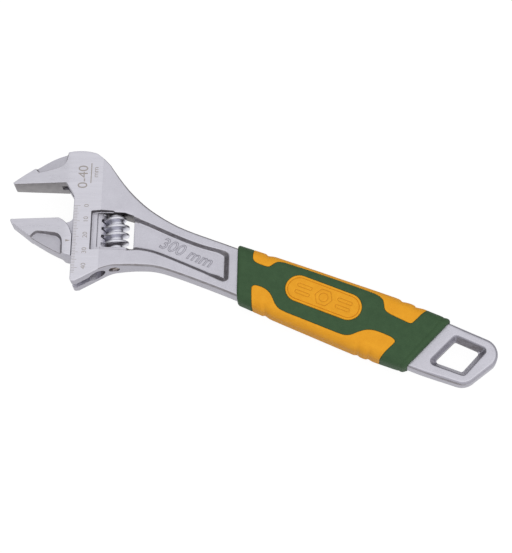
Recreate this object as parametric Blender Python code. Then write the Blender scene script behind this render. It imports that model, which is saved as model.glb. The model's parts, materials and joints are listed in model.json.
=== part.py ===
"""Adjustable wrench of nominal 300 mm length, with a two-colour rubber grip.

Everything is laid out in a design frame: +X runs along the handle from head to tail, Y = 0 is
the handle's centre line, Z = 0 the middle plane and +Z the front. The head is laid out in its
own two axes, turned by HEAD_ANGLE: j runs from the jaws' tips towards the handle, and r runs
the way the movable jaw opens. An empty then puts the middle of the object's footprint at the
world's origin, with the object lying on its back on Z = 0.
"""

import math

import bmesh
import bpy
from mathutils import Matrix, Vector

MM = 0.001

# Driving dimensions, in millimetres and degrees.
HEAD_ANGLE = 21.5
HEAD_CORNER_Y = 15.8  # where the throat wall meets the fixed jaw's gripping plane
HEAD_HALF = 9.25  # half the head's ground thickness
JAW_TIP_HALF = 6.4
JAW_LENGTH = 38.6
GROUND_EDGE_J = 16.7  # the ground face ends here and the shoulder begins
SHANK_HALF = 5.6
SHANK_EDGE_J = 50.0  # the shoulder has come down to the shank here
TAIL_HALF = 4.75
TAIL_START_X = 226.0
OPENING = 22.7  # between the jaws at rest
POCKET_DEPTH = 3.0
CLEARANCE = 0.3

RAIL_J = 14.9
RAIL_RADIUS = 5.0
RAIL_TOP = -8.0  # measured from the movable jaw's gripping face
RAIL_BOTTOM = 27.0
BORE_RADIUS = 5.08
BORE_TOP_R = -9.2
NECK_HALF = 2.6
SLOT_HALF = 2.9

WORM_J = 25.4
WORM_PITCH = 5.0
WORM_CREST = 8.25
WORM_ROOT = 4.9
WORM_TOP_R = 19.3
WORM_BOTTOM_R = 40.7
WORM_CREST_R = 21.3  # a crest's middle on the side away from the rail
WORM_BORE = 2.1
SPRING_POCKET = 3.1
SPRING_POCKET_DEPTH = 9.0
THREAD_FLAT = 0.35
THREAD_FLANK = 1.9

WINDOW_TOP_R = 19.0
WINDOW_BOTTOM_R = 41.0
WINDOW_LEFT_J = 14.5
WINDOW_RIGHT_J = 36.6
STRIP_HALF = 6.2  # the floor of the recess beside the window
WEB_HALF = 2.9  # the floor of the handle's long recess

PIN_RADIUS = 2.0
PIN_TOP_R = 11.0
PIN_HEAD_RADIUS = 3.0
PIN_HEAD_TOP_R = 46.0
PIN_HEAD_BOTTOM_R = 51.5
WIRE_RADIUS = 0.3
SPRING_RADIUS = 2.55
SPRING_TURNS = 6

GRIP_FRONT_X = 113.6
GRIP_REAR_X = 235.0
GRIP_GAP = 0.3
INLAY_DEPTH = 1.1
INLAY_GAP = 0.3
BADGE_PROUD = 0.4
BADGE_CENTRE = (167.0, 2.6)
BADGE_LENGTH = 47.5
BADGE_HEIGHT = 16.6

ORIGIN = (119.56, -2.65, -10.0)  # the design frame's point that becomes the world's origin

STEEL = (0.62, 0.61, 0.65)
DARK_STEEL = (0.33, 0.33, 0.35)
GREEN = (0.048, 0.098, 0.048)
YELLOW = (0.80, 0.39, 0.027)


# Scene

def clear_scene():
    for obj in list(bpy.data.objects):
        bpy.data.objects.remove(obj, do_unlink=True)


def new_collection(name, hidden=False):
    collection = bpy.data.collections.new(name)
    bpy.context.scene.collection.children.link(collection)
    collection.hide_render = hidden
    return collection


def material(name, colour, roughness, metallic):
    made = bpy.data.materials.new(name)
    made.use_nodes = True
    shader = made.node_tree.nodes["Principled BSDF"]
    shader.inputs["Base Color"].default_value = (*colour, 1.0)
    shader.inputs["Roughness"].default_value = roughness
    shader.inputs["Metallic"].default_value = metallic
    return made


def add(name, mesh, collection, look=None, parent=None):
    obj = bpy.data.objects.new(name, mesh)
    collection.objects.link(obj)
    if look:
        obj.data.materials.append(look)
    obj.parent = parent
    return obj


def as_cutter(obj):
    obj.hide_render = True
    obj.display_type = "WIRE"
    return obj


def set_origin(obj, j, r):
    """Puts the object's origin at a place on the head's plane, its mesh staying where it is."""
    place = Vector((*head(j, r), 0.0)) * MM
    obj.data.transform(Matrix.Translation(-place))
    obj.location = place


def shade_round(obj, angle=30):
    obj.data.shade_smooth()
    obj.data.set_sharp_from_angle(angle=math.radians(angle))


def combine(obj, other, operation):
    boolean = obj.modifiers.new(operation.lower() + "_" + other.name, "BOOLEAN")
    boolean.operation = operation
    boolean.solver = "EXACT"
    boolean.object = other


# Plane geometry, in millimetres

COS = math.cos(math.radians(HEAD_ANGLE))
SIN = math.sin(math.radians(HEAD_ANGLE))
SLANT = SIN / COS  # the grip's ends lean as the head does


def head(j, r):
    """The design frame's X and Y of a point given in the head's axes."""
    return (j * COS + r * SIN, HEAD_CORNER_Y + j * SIN - r * COS)


def across(x, y):
    """The head's j of a point given in X and Y."""
    return x * COS + (y - HEAD_CORNER_Y) * SIN


def arc(centre, radius, start, end, steps):
    """Points on a round corner, from one angle in degrees to the other."""
    points = []
    for i in range(steps + 1):
        angle = math.radians(start + (end - start) * i / steps)
        points.append((centre[0] + radius * math.cos(angle), centre[1] + radius * math.sin(angle)))
    return points


def smooth(points, steps=3):
    """A Catmull-Rom curve through the points, ends included."""
    first = (2 * points[0][0] - points[1][0], 2 * points[0][1] - points[1][1])
    last = (2 * points[-1][0] - points[-2][0], 2 * points[-1][1] - points[-2][1])
    knots = [Vector(p) for p in [first, *points, last]]
    found = [tuple(points[0])]
    for a, b, c, d in zip(knots, knots[1:], knots[2:], knots[3:]):
        for i in range(1, steps + 1):
            t = i / steps
            p = 0.5 * (2 * b + (c - a) * t + (2 * a - 5 * b + 4 * c - d) * t**2
                       + (3 * b - 3 * c + d - a) * t**3)
            found.append((p.x, p.y))
    return found


def rounded(corners, radius, steps=3):
    """A closed outline with each corner rounded."""
    found = []
    for i, corner in enumerate(corners):
        here = Vector(corner)
        before = (Vector(corners[i - 1]) - here).normalized()
        after = (Vector(corners[(i + 1) % len(corners)]) - here).normalized()
        half = before.angle(after) / 2
        reach = radius / math.tan(half)
        centre = here + (before + after).normalized() * radius / math.sin(half)
        start = here + before * reach - centre
        end = here + after * reach - centre
        for k in range(steps + 1):
            point = start.lerp(end, k / steps)
            point = centre + point.normalized() * radius
            found.append((point.x, point.y))
    return found


def inset(points, distance):
    """The outline moved inwards, the same number of points. It must run anticlockwise."""
    moved = []
    count = len(points)
    for i, point in enumerate(points):
        before = (Vector(point) - Vector(points[i - 1])).normalized()
        after = (Vector(points[(i + 1) % count]) - Vector(point)).normalized()
        inward = Vector((-before.y - after.y, before.x + after.x)).normalized()
        spread = max(0.5, inward.dot(Vector((-before.y, before.x))))
        moved.append(tuple(Vector(point) + inward * distance / spread))
    return moved


def anticlockwise(points):
    area = sum(a[0] * b[1] - b[0] * a[1] for a, b in zip(points, points[1:] + points[:1]))
    return points if area > 0 else points[::-1]


def interpolate(stations, x):
    """The value at x between (x, value) stations."""
    for (x0, v0), (x1, v1) in zip(stations, stations[1:]):
        if x <= x1:
            return v0 + (v1 - v0) * max(0.0, x - x0) / (x1 - x0)
    return stations[-1][1]


# Solids, in millimetres until a mesh is made

def mesh_from_curve(name, outlines, half):
    """A flat plate: the outlines filled, and half its thickness to each side."""
    curve = bpy.data.curves.new(name, "CURVE")
    curve.dimensions = "2D"
    curve.fill_mode = "BOTH"
    curve.extrude = half * MM
    curve.render_resolution_u = 0
    for outline in outlines:
        spline = curve.splines.new("POLY")
        spline.points.add(len(outline) - 1)
        for point, (x, y) in zip(spline.points, outline):
            point.co = (x * MM, y * MM, 0.0, 1.0)
        spline.use_cyclic_u = True
    obj = bpy.data.objects.new(name, curve)
    bpy.context.scene.collection.objects.link(obj)
    evaluated = obj.evaluated_get(bpy.context.evaluated_depsgraph_get())
    mesh = bpy.data.meshes.new_from_object(evaluated)
    bpy.data.objects.remove(obj, do_unlink=True)
    shape = bmesh.new()
    shape.from_mesh(mesh)
    bmesh.ops.remove_doubles(shape, verts=shape.verts, dist=1e-6)
    bmesh.ops.recalc_face_normals(shape, faces=shape.faces)
    shape.to_mesh(mesh)
    shape.free()
    return mesh


def block(name, outline, low, high, collection, parent):
    """A straight cutter with this outline, from low to high along Z."""
    mesh = mesh_from_curve(name, [outline], (high - low) / 2)
    mesh.transform(Matrix.Translation((0, 0, (low + high) / 2 * MM)))
    return as_cutter(add(name, mesh, collection, parent=parent))


def loft(name, rings):
    """A capped skin through rings of equal count, each a list of (x, y, z)."""
    shape = bmesh.new()
    rows = [[shape.verts.new(Vector(p) * MM) for p in ring] for ring in rings]
    count = len(rings[0])
    for low, high in zip(rows, rows[1:]):
        for i in range(count):
            k = (i + 1) % count
            shape.faces.new((low[i], low[k], high[k], high[i]))
    shape.faces.new(rows[0][::-1])
    shape.faces.new(rows[-1])
    bmesh.ops.recalc_face_normals(shape, faces=shape.faces)
    mesh = bpy.data.meshes.new(name)
    shape.to_mesh(mesh)
    shape.free()
    return mesh


def drafted(name, outline, inner, floor, top, collection, parent):
    """A recess cutter whose walls lean from the outline at the top in to its floor's outline."""
    sign = 1 if top > 0 else -1
    rings = [
        [(x, y, sign * floor) for x, y in inner],
        [(x, y, sign * abs(top)) for x, y in outline],
        [(x, y, sign * (abs(top) + 6.0)) for x, y in outline],
    ]
    return as_cutter(add(name, loft(name, rings), collection, parent=parent))


def both_faces(target, name, outline, inner, floor, top, collection, parent):
    for side, sign in (("front", 1), ("back", -1)):
        cutter = drafted(name + "_" + side, outline, inner, floor, sign * top, collection, parent)
        combine(target, cutter, "DIFFERENCE")


def along_r(mesh, j, r):
    """Stands a mesh made along Z on the head's r axis, its base at (j, r)."""
    x, y = head(j, r)
    opening = Vector((SIN, -COS, 0.0))
    side = Vector((COS, SIN, 0.0))
    turn = Matrix((side, Vector((0, 0, 1)), opening)).transposed()
    mesh.transform(Matrix.Translation((x * MM, y * MM, 0.0)) @ turn.to_4x4())
    return mesh


def cylinder(name, radius, length, segments=32, rings=1):
    """A capped cylinder from Z = 0 to its length."""
    shape = bmesh.new()
    bmesh.ops.create_cone(shape, cap_ends=True, segments=segments, radius1=radius * MM,
                          radius2=radius * MM, depth=length * MM)
    bmesh.ops.translate(shape, verts=shape.verts, vec=(0, 0, length / 2 * MM))
    for i in range(1, rings):
        bmesh.ops.bisect_plane(shape, geom=shape.verts[:] + shape.edges[:] + shape.faces[:],
                               plane_co=(0, 0, length * i / rings * MM), plane_no=(0, 0, 1))
    mesh = bpy.data.meshes.new(name)
    shape.to_mesh(mesh)
    shape.free()
    return mesh


def taper(mesh, cuts, half_thickness):
    """Cuts the plate at the lines where its slope changes, then gives it its thickness there."""
    shape = bmesh.new()
    shape.from_mesh(mesh)
    for point, normal in cuts:
        bmesh.ops.bisect_plane(shape, geom=shape.verts[:] + shape.edges[:] + shape.faces[:],
                               plane_co=Vector((*point, 0)) * MM, plane_no=(*normal, 0))
    for vert in shape.verts:
        half = half_thickness(vert.co.x / MM, vert.co.y / MM) * MM
        vert.co.z = math.copysign(half, vert.co.z)
    shape.to_mesh(mesh)
    shape.free()


# Body

def body_half(x, y):
    """Half the forging's thickness at a point."""
    j = across(x, y)
    if j <= 0:
        return HEAD_HALF + (HEAD_HALF - JAW_TIP_HALF) * j / JAW_LENGTH
    if j <= GROUND_EDGE_J:
        return HEAD_HALF
    if j < SHANK_EDGE_J:
        fall = (SHANK_EDGE_J - j) / (SHANK_EDGE_J - GROUND_EDGE_J)
        return SHANK_HALF + (HEAD_HALF - SHANK_HALF) * fall**2
    return interpolate([(GRIP_FRONT_X + 20, SHANK_HALF), (TAIL_START_X, TAIL_HALF)], x)


def jaw_outside():
    """The fixed jaw's back and the round top of the head, from the tip."""
    return smooth([head(*p) for p in [
        (-38.5, -0.6), (-37.8, -1.5), (-31.5, -5.9), (-25.2, -9.9), (-16.8, -15.2), (-10.8, -18.2),
        (-3.8, -20.3), (3.2, -20.9), (9.9, -20.0), (14.0, -18.2), (20.5, -12.3)]])


def handle_top():
    return smooth([(18.5, 32.3), (27.6, 26.7), (36.8, 22.1), (48.8, 17.7), (63.5, 14.6), (77, 13.6),
                   *CORE_WIDTH, (265.2, 15.9)])


def tail_end():
    return (arc((265.2, 6.0), 9.9, 85, -22, 7) + arc((258.0, -6.0), 10.2, -25, -88, 6))


def handle_bottom():
    under_grip = [(x, -y) for x, y in reversed(CORE_WIDTH)]
    return smooth([*under_grip, (78, -14.3), (66, -15.5), (55, -19.1), (44, -23.9),
                   head(21.7, 54.0), head(16.5, 56.2)])


def head_bottom():
    return [head(3.4, 63.5)] + arc(head(1.5, 62.2), 1.5, -55, -160, 3)


def throat():
    return [head(*p) for p in [(0, 11.5), (-0.4, 9.0), (-1.3, 6.6), (-3.0, 3.9), (-5.5, 0.0),
                               (-37.9, 0.0)]]


def body_outline():
    return (jaw_outside() + handle_top() + tail_end() + handle_bottom() + head_bottom() + throat())


def web_outline():
    """The long recess between the worm's window and the grip."""
    return ([head(34.0, 20.6), (42.4, 9.4), (52.4, 9.2), (66, 8.4), (85.8, 8.1)]
            + smooth([(96, 9.0), (102.2, 9.4), (104.4, 8.3), (105.4, 6.4)])
            + smooth([(110.2, -5.3), (110.0, -7.7), (107.6, -9.0), (104.2, -8.8)])
            + [(86, -7.9), (66.3, -7.3), (58.5, -7.7), (50.4, -10.2), head(34.0, 42.4)])


def strip_outline():
    """The shallow step round the window."""
    return rounded([head(*p) for p in [(10.9, 18.9), (17.0, 18.4), (22.5, 18.4), (36.0, 20.9),
                                       (36.0, 42.6), (24.0, 42.9), (10.9, 43.7)]], 1.6)


def window_outline():
    return [head(*p) for p in [
        (WINDOW_LEFT_J, WINDOW_TOP_R), (31.0, WINDOW_TOP_R), (WINDOW_RIGHT_J, 20.9),
        (WINDOW_RIGHT_J, WINDOW_BOTTOM_R + 1.2), (31.0, WINDOW_BOTTOM_R),
        (WINDOW_LEFT_J, WINDOW_BOTTOM_R)]]


def fixed_pocket_outline():
    return [head(*p) for p in [
        (-29.5, -13.0), (-25.0, -9.5), (-22.4, -7.4), (-16.2, -8.4), (-10.2, -10.4), (-7.4, -12.2),
        (-6.0, -14.6), (-5.0, -18.6), (-5.2, -24.0), (-16.0, -22.0)]]


def hang_hole_outline(inwards, radius):
    corners = anticlockwise([(247.2, 11.5), (268.6, 10.3), (261.0, -10.5), (237.8, -10.9)])
    return rounded(inset(corners, inwards), radius)


def slot_outline():
    """The neck's slot, open along the throat and at the head's foot."""
    return [head(*p) for p in [(-9.0, 1.5), (-9.0, -0.6), (-6.0, -2.6), (-2.0, -5.6), (3.0, -8.4),
                               (9.0, BORE_TOP_R), (RAIL_J, BORE_TOP_R), (RAIL_J, 72.0), (-8.0, 72.0),
                               (-5.0, 8.0)]]


def make_body(parts, cutters, looks, origin):
    mesh = mesh_from_curve("wrench_body", [body_outline()], HEAD_HALF)
    opening_way = (COS, SIN)
    cuts = [(head(j, 0), opening_way) for j in (0, GROUND_EDGE_J, 22, 28, 36, SHANK_EDGE_J)]
    cuts += [((x, 0), (1, 0)) for x in (GRIP_FRONT_X + 20, 160, 200, TAIL_START_X)]
    taper(mesh, cuts, body_half)
    body = add("wrench_body", mesh, parts, looks["satin_steel"], origin)

    combine(body, block("window", window_outline(), -15, 15, cutters, origin), "DIFFERENCE")
    recesses = [
        ("strip", strip_outline(), 0.3, STRIP_HALF, HEAD_HALF),
        ("web", web_outline(), 1.2, WEB_HALF, SHANK_HALF),
        ("jaw_pocket", fixed_pocket_outline(), 0.8, HEAD_HALF - 1.0 - POCKET_DEPTH, HEAD_HALF),
    ]
    for name, outline, draft, floor, top in recesses:
        outline = anticlockwise(outline)
        both_faces(body, name, outline, inset(outline, draft), floor, top, cutters, origin)
    hole = hang_hole_outline(0.0, 2.6)
    eye = hang_hole_outline(3.4, 1.0)
    both_faces(body, "hang_hole", hole, eye, 0.7, TAIL_HALF, cutters, origin)
    combine(body, block("hang_eye", hang_hole_outline(3.45, 1.0), -6, 6, cutters, origin),
            "DIFFERENCE")
    combine(body, block("neck_slot", slot_outline(), -SLOT_HALF, SLOT_HALF, cutters, origin),
            "DIFFERENCE")
    round_cuts = [
        ("rail_bore", BORE_RADIUS, RAIL_J, BORE_TOP_R, 80.0),
        ("pin_bore", PIN_RADIUS + CLEARANCE, WORM_J, PIN_TOP_R - CLEARANCE, PIN_HEAD_TOP_R),
        ("pin_head_bore", PIN_HEAD_RADIUS + CLEARANCE, WORM_J, PIN_HEAD_TOP_R - CLEARANCE, 70.0),
    ]
    for name, radius, j, start, end in round_cuts:
        cutter = as_cutter(add(name, along_r(cylinder(name, radius, end - start), j, start),
                               cutters, parent=origin))
        combine(body, cutter, "DIFFERENCE")
    return body


# Movable jaw

def movable_outline():
    face = OPENING
    back = smooth([head(*p) for p in [(-38.4, 24.9), (-32.0, 29.8), (-25.5, 34.8), (-19.2, 38.8),
                                      (-13.0, 42.3), (-6.0, 45.6), (-0.3, 47.2)]], 2)
    shoulder = smooth([head(*p) for p in [(-0.3, 34.0), (-2.2, 29.1), (-4.2, 26.2), (-6.3, 24.2),
                                          (-9.2, face)]], 2)
    return back + shoulder + [head(-38.5, face), head(-39.0, face + 0.7)]


def movable_pocket_outline():
    return [head(*p) for p in [
        (-28.5, 36.6), (-25.8, 34.1), (-23.2, 31.5), (-21.6, 31.0), (-10.8, 32.5), (-8.0, 34.0),
        (-6.3, 36.6), (-5.8, 40.0), (-5.8, 50.0), (-16.0, 46.0)]]


def neck_outline():
    top = smooth([(-5.2, 23.8), (-3.6, 23.4), (-2.0, 22.4), (-0.5, 20.3), (2.0, 17.3), (6.0, 15.3)], 2)
    return [head(*p) for p in [(-9.0, 27.0), *top, (11.0, OPENING + RAIL_TOP),
                               (RAIL_J, OPENING + RAIL_TOP), (RAIL_J, OPENING + RAIL_BOTTOM),
                               (9.0, OPENING + RAIL_BOTTOM), (-0.4, 47.0), (-6.0, 44.8)]]


def groove_outline(r):
    """One gap of the rack: a trapezoid that narrows towards the rail's axis."""
    root = RAIL_J + RAIL_RADIUS - (WORM_CREST + RAIL_RADIUS - (WORM_J - RAIL_J)) - 0.3
    rim = RAIL_J + RAIL_RADIUS
    slope = (1.95 - 0.8) / (rim - root)
    wide = 1.95 + slope * 2.0
    return [(root, r - 0.8), (root, r + 0.8), (rim + 2.0, r + wide), (rim + 2.0, r - wide)]


def make_groove(name, r, collection, parent):
    """The gap is cut straight across the rail, leaning by the worm's lead."""
    mean_radius = WORM_J - RAIL_J - RAIL_RADIUS + 1.7
    lean = WORM_PITCH / (2 * math.pi * mean_radius)
    reach = RAIL_RADIUS + 1.0
    rings = []
    for z in (-reach, reach):
        rings.append([(*head(j, k - lean * z), z) for j, k in groove_outline(r)])
    return as_cutter(add(name, loft(name, rings), collection, parent=parent))


def make_movable_jaw(parts, cutters, looks, origin):
    mesh = mesh_from_curve("movable_jaw", [movable_outline()], HEAD_HALF)
    taper(mesh, [], lambda x, y: body_half(x, y) - 0.25)
    jaw = add("movable_jaw", mesh, parts, looks["satin_steel"], origin)
    pocket = anticlockwise(movable_pocket_outline())
    both_faces(jaw, "movable_pocket", pocket, inset(pocket, 0.8), HEAD_HALF - 1.0 - POCKET_DEPTH,
               HEAD_HALF, cutters, origin)
    neck = block("neck", neck_outline(), -NECK_HALF, NECK_HALF, cutters, origin)
    combine(jaw, neck, "UNION")
    length = RAIL_BOTTOM - RAIL_TOP
    rail_mesh = along_r(cylinder("rail", RAIL_RADIUS, length, 40), RAIL_J, OPENING + RAIL_TOP)
    combine(jaw, as_cutter(add("rail", rail_mesh, cutters, parent=origin)), "UNION")
    first = WORM_CREST_R + WORM_PITCH / 2 - 2 * WORM_PITCH
    for i in range(8):
        groove = make_groove(f"rack_gap_{i}", first + WORM_PITCH * i, cutters, origin)
        combine(jaw, groove, "DIFFERENCE")
    set_origin(jaw, RAIL_J, OPENING + RAIL_TOP)
    return jaw


# Worm, its pin and its spring

def thread_radius(turn, r):
    """The worm's radius at an angle (in turns from the far side by way of the front) and an r."""
    crest = WORM_CREST_R + WORM_PITCH * turn
    off = abs((r - crest + WORM_PITCH / 2) % WORM_PITCH - WORM_PITCH / 2)
    share = min(1.0, max(0.0, (off - THREAD_FLAT) / THREAD_FLANK))
    middle = r - math.copysign(off, (r - crest + WORM_PITCH / 2) % WORM_PITCH - WORM_PITCH / 2)
    start = min(1.0, max(0.0, (middle - WORM_TOP_R - 1.4) / 1.6))
    end = min(1.0, max(0.0, (WORM_BOTTOM_R - 1.4 - middle) / 1.2))
    height = (WORM_CREST - WORM_ROOT) * min(start, end)
    return WORM_ROOT + height * 0.5 * (1 + math.cos(math.pi * share))


def make_worm(parts, cutters, looks, origin):
    length = WORM_BOTTOM_R - WORM_TOP_R
    mesh = cylinder("worm", WORM_ROOT, length, 36, 40)
    for vert in mesh.vertices:
        along = vert.co.z / MM
        if 0.01 < along < length - 0.01:
            angle = math.atan2(vert.co.y, vert.co.x) / (2 * math.pi)
            radius = thread_radius(angle % 1.0, WORM_TOP_R + along)
            grown = Vector((vert.co.x, vert.co.y)).normalized() * radius * MM
            vert.co.x, vert.co.y = grown
    worm = add("worm", along_r(mesh, WORM_J, WORM_TOP_R), parts, looks["dark_steel"], origin)
    set_origin(worm, WORM_J, WORM_TOP_R)
    shade_round(worm)
    bores = [("worm_bore", WORM_BORE, WORM_TOP_R - 1, WORM_BOTTOM_R + 1),
             ("spring_pocket", SPRING_POCKET, WORM_BOTTOM_R - SPRING_POCKET_DEPTH, WORM_BOTTOM_R + 1)]
    for name, radius, start, end in bores:
        cutter = as_cutter(add(name, along_r(cylinder(name, radius, end - start), WORM_J, start),
                               cutters, parent=origin))
        combine(worm, cutter, "DIFFERENCE")
    return worm


def make_pin(parts, cutters, looks, origin):
    """The worm's pin: a screw with a slotted head, and a turned profile."""
    profile = [(0.0, PIN_TOP_R), (1.5, PIN_TOP_R), (PIN_RADIUS, PIN_TOP_R + 0.5),
               (PIN_RADIUS, PIN_HEAD_TOP_R), (PIN_HEAD_RADIUS, PIN_HEAD_TOP_R),
               (PIN_HEAD_RADIUS, PIN_HEAD_BOTTOM_R - 0.4), (PIN_HEAD_RADIUS - 0.4, PIN_HEAD_BOTTOM_R),
               (0.0, PIN_HEAD_BOTTOM_R)]
    segments = 28
    rings = []
    for radius, r in profile[1:-1]:
        ring = arc((0, 0), radius, 0, 360, segments)[:-1]
        rings.append([(x, y, r - PIN_TOP_R) for x, y in ring])
    pin = add("worm_pin", along_r(loft("worm_pin", rings), WORM_J, PIN_TOP_R), parts,
              looks["dark_steel"], origin)
    slot = [(WORM_J - 4, PIN_HEAD_BOTTOM_R - 1.2), (WORM_J + 4, PIN_HEAD_BOTTOM_R - 1.2),
            (WORM_J + 4, PIN_HEAD_BOTTOM_R + 1), (WORM_J - 4, PIN_HEAD_BOTTOM_R + 1)]
    cutter = block("driver_slot", [head(*p) for p in slot], -0.5, 0.5, cutters, origin)
    combine(pin, cutter, "DIFFERENCE")
    shade_round(pin)
    return pin


def make_spring(parts, looks, origin):
    """A small coil in the worm's foot, round the pin."""
    start = WORM_BOTTOM_R - SPRING_POCKET_DEPTH + WIRE_RADIUS + 0.3
    end = WINDOW_BOTTOM_R - WIRE_RADIUS - 0.05
    steps = 10
    points = []
    for i in range(SPRING_TURNS * steps + 1):
        angle = 2 * math.pi * i / steps
        r = start + (end - start) * i / (SPRING_TURNS * steps)
        j = WORM_J + SPRING_RADIUS * math.cos(angle)
        points.append((*head(j, r), SPRING_RADIUS * math.sin(angle)))
    curve = bpy.data.curves.new("worm_spring", "CURVE")
    curve.dimensions = "3D"
    curve.bevel_depth = WIRE_RADIUS * MM
    curve.bevel_resolution = 2
    curve.use_fill_caps = True
    curve.render_resolution_u = 0
    spline = curve.splines.new("POLY")
    spline.points.add(len(points) - 1)
    for point, place in zip(spline.points, points):
        point.co = (*(Vector(place) * MM), 1.0)
    return add("worm_spring", curve, parts, looks["dark_steel"], origin)


# Grip

GRIP_WIDTH = [(100, 16.3), (118, 16.9), (135, 17.7), (160, 18.6), (182, 19.3), (203, 20.0),
              (216, 19.6), (245, 19.0)]
GRIP_THICKNESS = [(100, 8.4), (120, 8.9), (150, 9.4), (190, 9.6), (215, 9.5), (245, 8.8)]
CORE_WIDTH = [(100, 14.0), (120, 14.3), (160, 15.5), (200, 16.4), (232, 17.0), (246, 16.8)]


def grip_ring(x, width, half, corner, segments=6):
    """A rounded section across the handle, slanted to suit the grip's ends."""
    middle = (GRIP_FRONT_X + GRIP_REAR_X) / 2
    skew = SLANT * (x - middle) / (GRIP_REAR_X - middle)
    ring = []
    for quarter, (sy, sz) in enumerate([(1, 1), (-1, 1), (-1, -1), (1, -1)]):
        centre = (sy * (width - corner), sz * (half - corner))
        ring += arc(centre, corner, 90 * quarter, 90 * quarter + 90, segments)
    return [(x + skew * y, y, z) for y, z in ring]


def grip_solid(name, inwards, overrun=0.0, stations=13):
    """The grip's outer form, moved in by a distance, and run past its ends if asked."""
    rings = []
    for i in range(stations):
        x = GRIP_FRONT_X - overrun + (GRIP_REAR_X - GRIP_FRONT_X + 2 * overrun) * i / (stations - 1)
        width = interpolate(GRIP_WIDTH, x) - inwards
        half = interpolate(GRIP_THICKNESS, x) - inwards
        rings.append(grip_ring(x, width, half, 6.5 - inwards))
    return loft(name, rings)


def core_outline():
    """The handle's outline where the grip holds it, grown by the gap."""
    top = smooth([(x, y + GRIP_GAP) for x, y in CORE_WIDTH])
    return top + [(x, -y) for x, y in reversed(top)]


def upper_inlay_outline():
    return ([(117.9, 26.0), (118.4, 14.0), (119.4, 10.4)]
            + smooth([(121.3, 8.3), (125.5, 8.0), (129.8, 8.2), (131.6, 9.8), (132.8, 12.1),
                      (134.2, 13.8), (138.0, 15.0)], 2)
            + [(172.0, 16.0), (194.5, 16.2)]
            + smooth([(198.4, 15.6), (200.9, 14.2), (202.3, 12.0), (203.8, 9.0), (206.5, 7.5),
                      (212.5, 6.9)], 2)
            + smooth([(219.2, 6.4), (221.4, 6.9), (222.6, 8.6)], 2) + [(227.6, 19.0), (229.6, 26.0)])


def lower_inlay_outline():
    return ([(134.0, -26.0), (126.2, -8.4)]
            + smooth([(125.9, -6.0), (127.4, -4.8), (130.2, -4.5), (133.8, -4.9), (137.2, -6.2),
                      (140.2, -8.8), (142.8, -11.6), (146.0, -13.5), (151.0, -14.2)], 2)
            + [(184.0, -14.6)]
            + smooth([(188.2, -14.2), (191.4, -12.4), (194.8, -8.9), (198.5, -6.3), (203.0, -5.0),
                      (208.0, -4.9)], 2)
            + smooth([(213.6, -5.3), (216.2, -6.6), (216.4, -8.4)], 2)
            + [(213.2, -16.0), (209.0, -26.0)])


def badge_outline():
    x, y = BADGE_CENTRE
    radius = BADGE_HEIGHT / 2
    reach = BADGE_LENGTH / 2 - radius
    return (arc((x + reach, y), radius, -90, 90, 8) + arc((x - reach, y), radius, 90, 270, 8))


def inlay(name, outline, proud, low, high, parts, cutters, look, origin, grip):
    """A rubber piece let into the grip: its outline through the grip's outer layer."""
    outline = anticlockwise(outline)
    pocket = block(name + "_pocket", inset(outline, -INLAY_GAP), low - 1, high + 1, cutters, origin)
    layer = as_cutter(add(name + "_layer", grip_solid(name + "_layer", INLAY_DEPTH + INLAY_GAP, 8.0),
                          cutters, parent=origin))
    combine(pocket, layer, "DIFFERENCE")
    combine(grip, pocket, "DIFFERENCE")

    piece = add(name, mesh_from_curve(name, [outline], (high - low) / 2), parts, look, origin)
    piece.data.transform(Matrix.Translation((0, 0, (low + high) / 2 * MM)))
    skin = as_cutter(add(name + "_skin", grip_solid(name + "_skin", -proud, 0.0), cutters,
                         parent=origin))
    bed = as_cutter(add(name + "_bed", grip_solid(name + "_bed", INLAY_DEPTH, 8.0), cutters,
                        parent=origin))
    combine(piece, skin, "INTERSECT")
    combine(piece, bed, "DIFFERENCE")
    return piece


def make_grip(parts, cutters, looks, origin):
    grip = add("grip_shell", grip_solid("grip_shell", 0.0), parts, looks["green_rubber"], origin)
    shade_round(grip)
    half = SHANK_HALF + GRIP_GAP
    core = block("grip_core", core_outline(), -half, half, cutters, origin)
    combine(grip, core, "DIFFERENCE")
    inlay("grip_inlay_upper", upper_inlay_outline(), 0.0, -14, 14, parts, cutters,
          looks["yellow_rubber"], origin, grip)
    inlay("grip_inlay_lower", lower_inlay_outline(), 0.0, -14, 14, parts, cutters,
          looks["yellow_rubber"], origin, grip)
    inlay("badge_front", badge_outline(), BADGE_PROUD, 4, 14, parts, cutters,
          looks["yellow_rubber"], origin, grip)
    inlay("badge_back", badge_outline(), BADGE_PROUD, -14, -4, parts, cutters,
          looks["yellow_rubber"], origin, grip)
    return grip


def main():
    clear_scene()
    parts = new_collection("adjustable_wrench")
    cutters = new_collection("cutters", hidden=True)
    looks = {
        "satin_steel": material("satin_steel", STEEL, 0.35, 0.9),
        "dark_steel": material("dark_steel", DARK_STEEL, 0.3, 0.9),
        "green_rubber": material("green_rubber", GREEN, 0.6, 0.0),
        "yellow_rubber": material("yellow_rubber", YELLOW, 0.55, 0.0),
    }
    origin = bpy.data.objects.new("wrench_origin", None)
    parts.objects.link(origin)
    origin.location = -Vector(ORIGIN) * MM
    make_body(parts, cutters, looks, origin)
    make_movable_jaw(parts, cutters, looks, origin)
    make_worm(parts, cutters, looks, origin)
    make_pin(parts, cutters, looks, origin)
    make_spring(parts, looks, origin)
    make_grip(parts, cutters, looks, origin)


main()
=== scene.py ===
"""Looks of the adjustable wrench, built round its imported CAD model.

Lengths are in millimetres and angles in degrees until a mesh is made. As in the CAD, the design
frame has +X along the handle, Y = 0 on the handle's centre line, Z = 0 in the middle plane and
+Z to the front. The head has its own two axes: j runs from the jaws' tips towards the handle,
and r runs the way the movable jaw opens, from the fixed jaw's gripping plane.
"""

import json
import math
from collections import namedtuple

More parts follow.
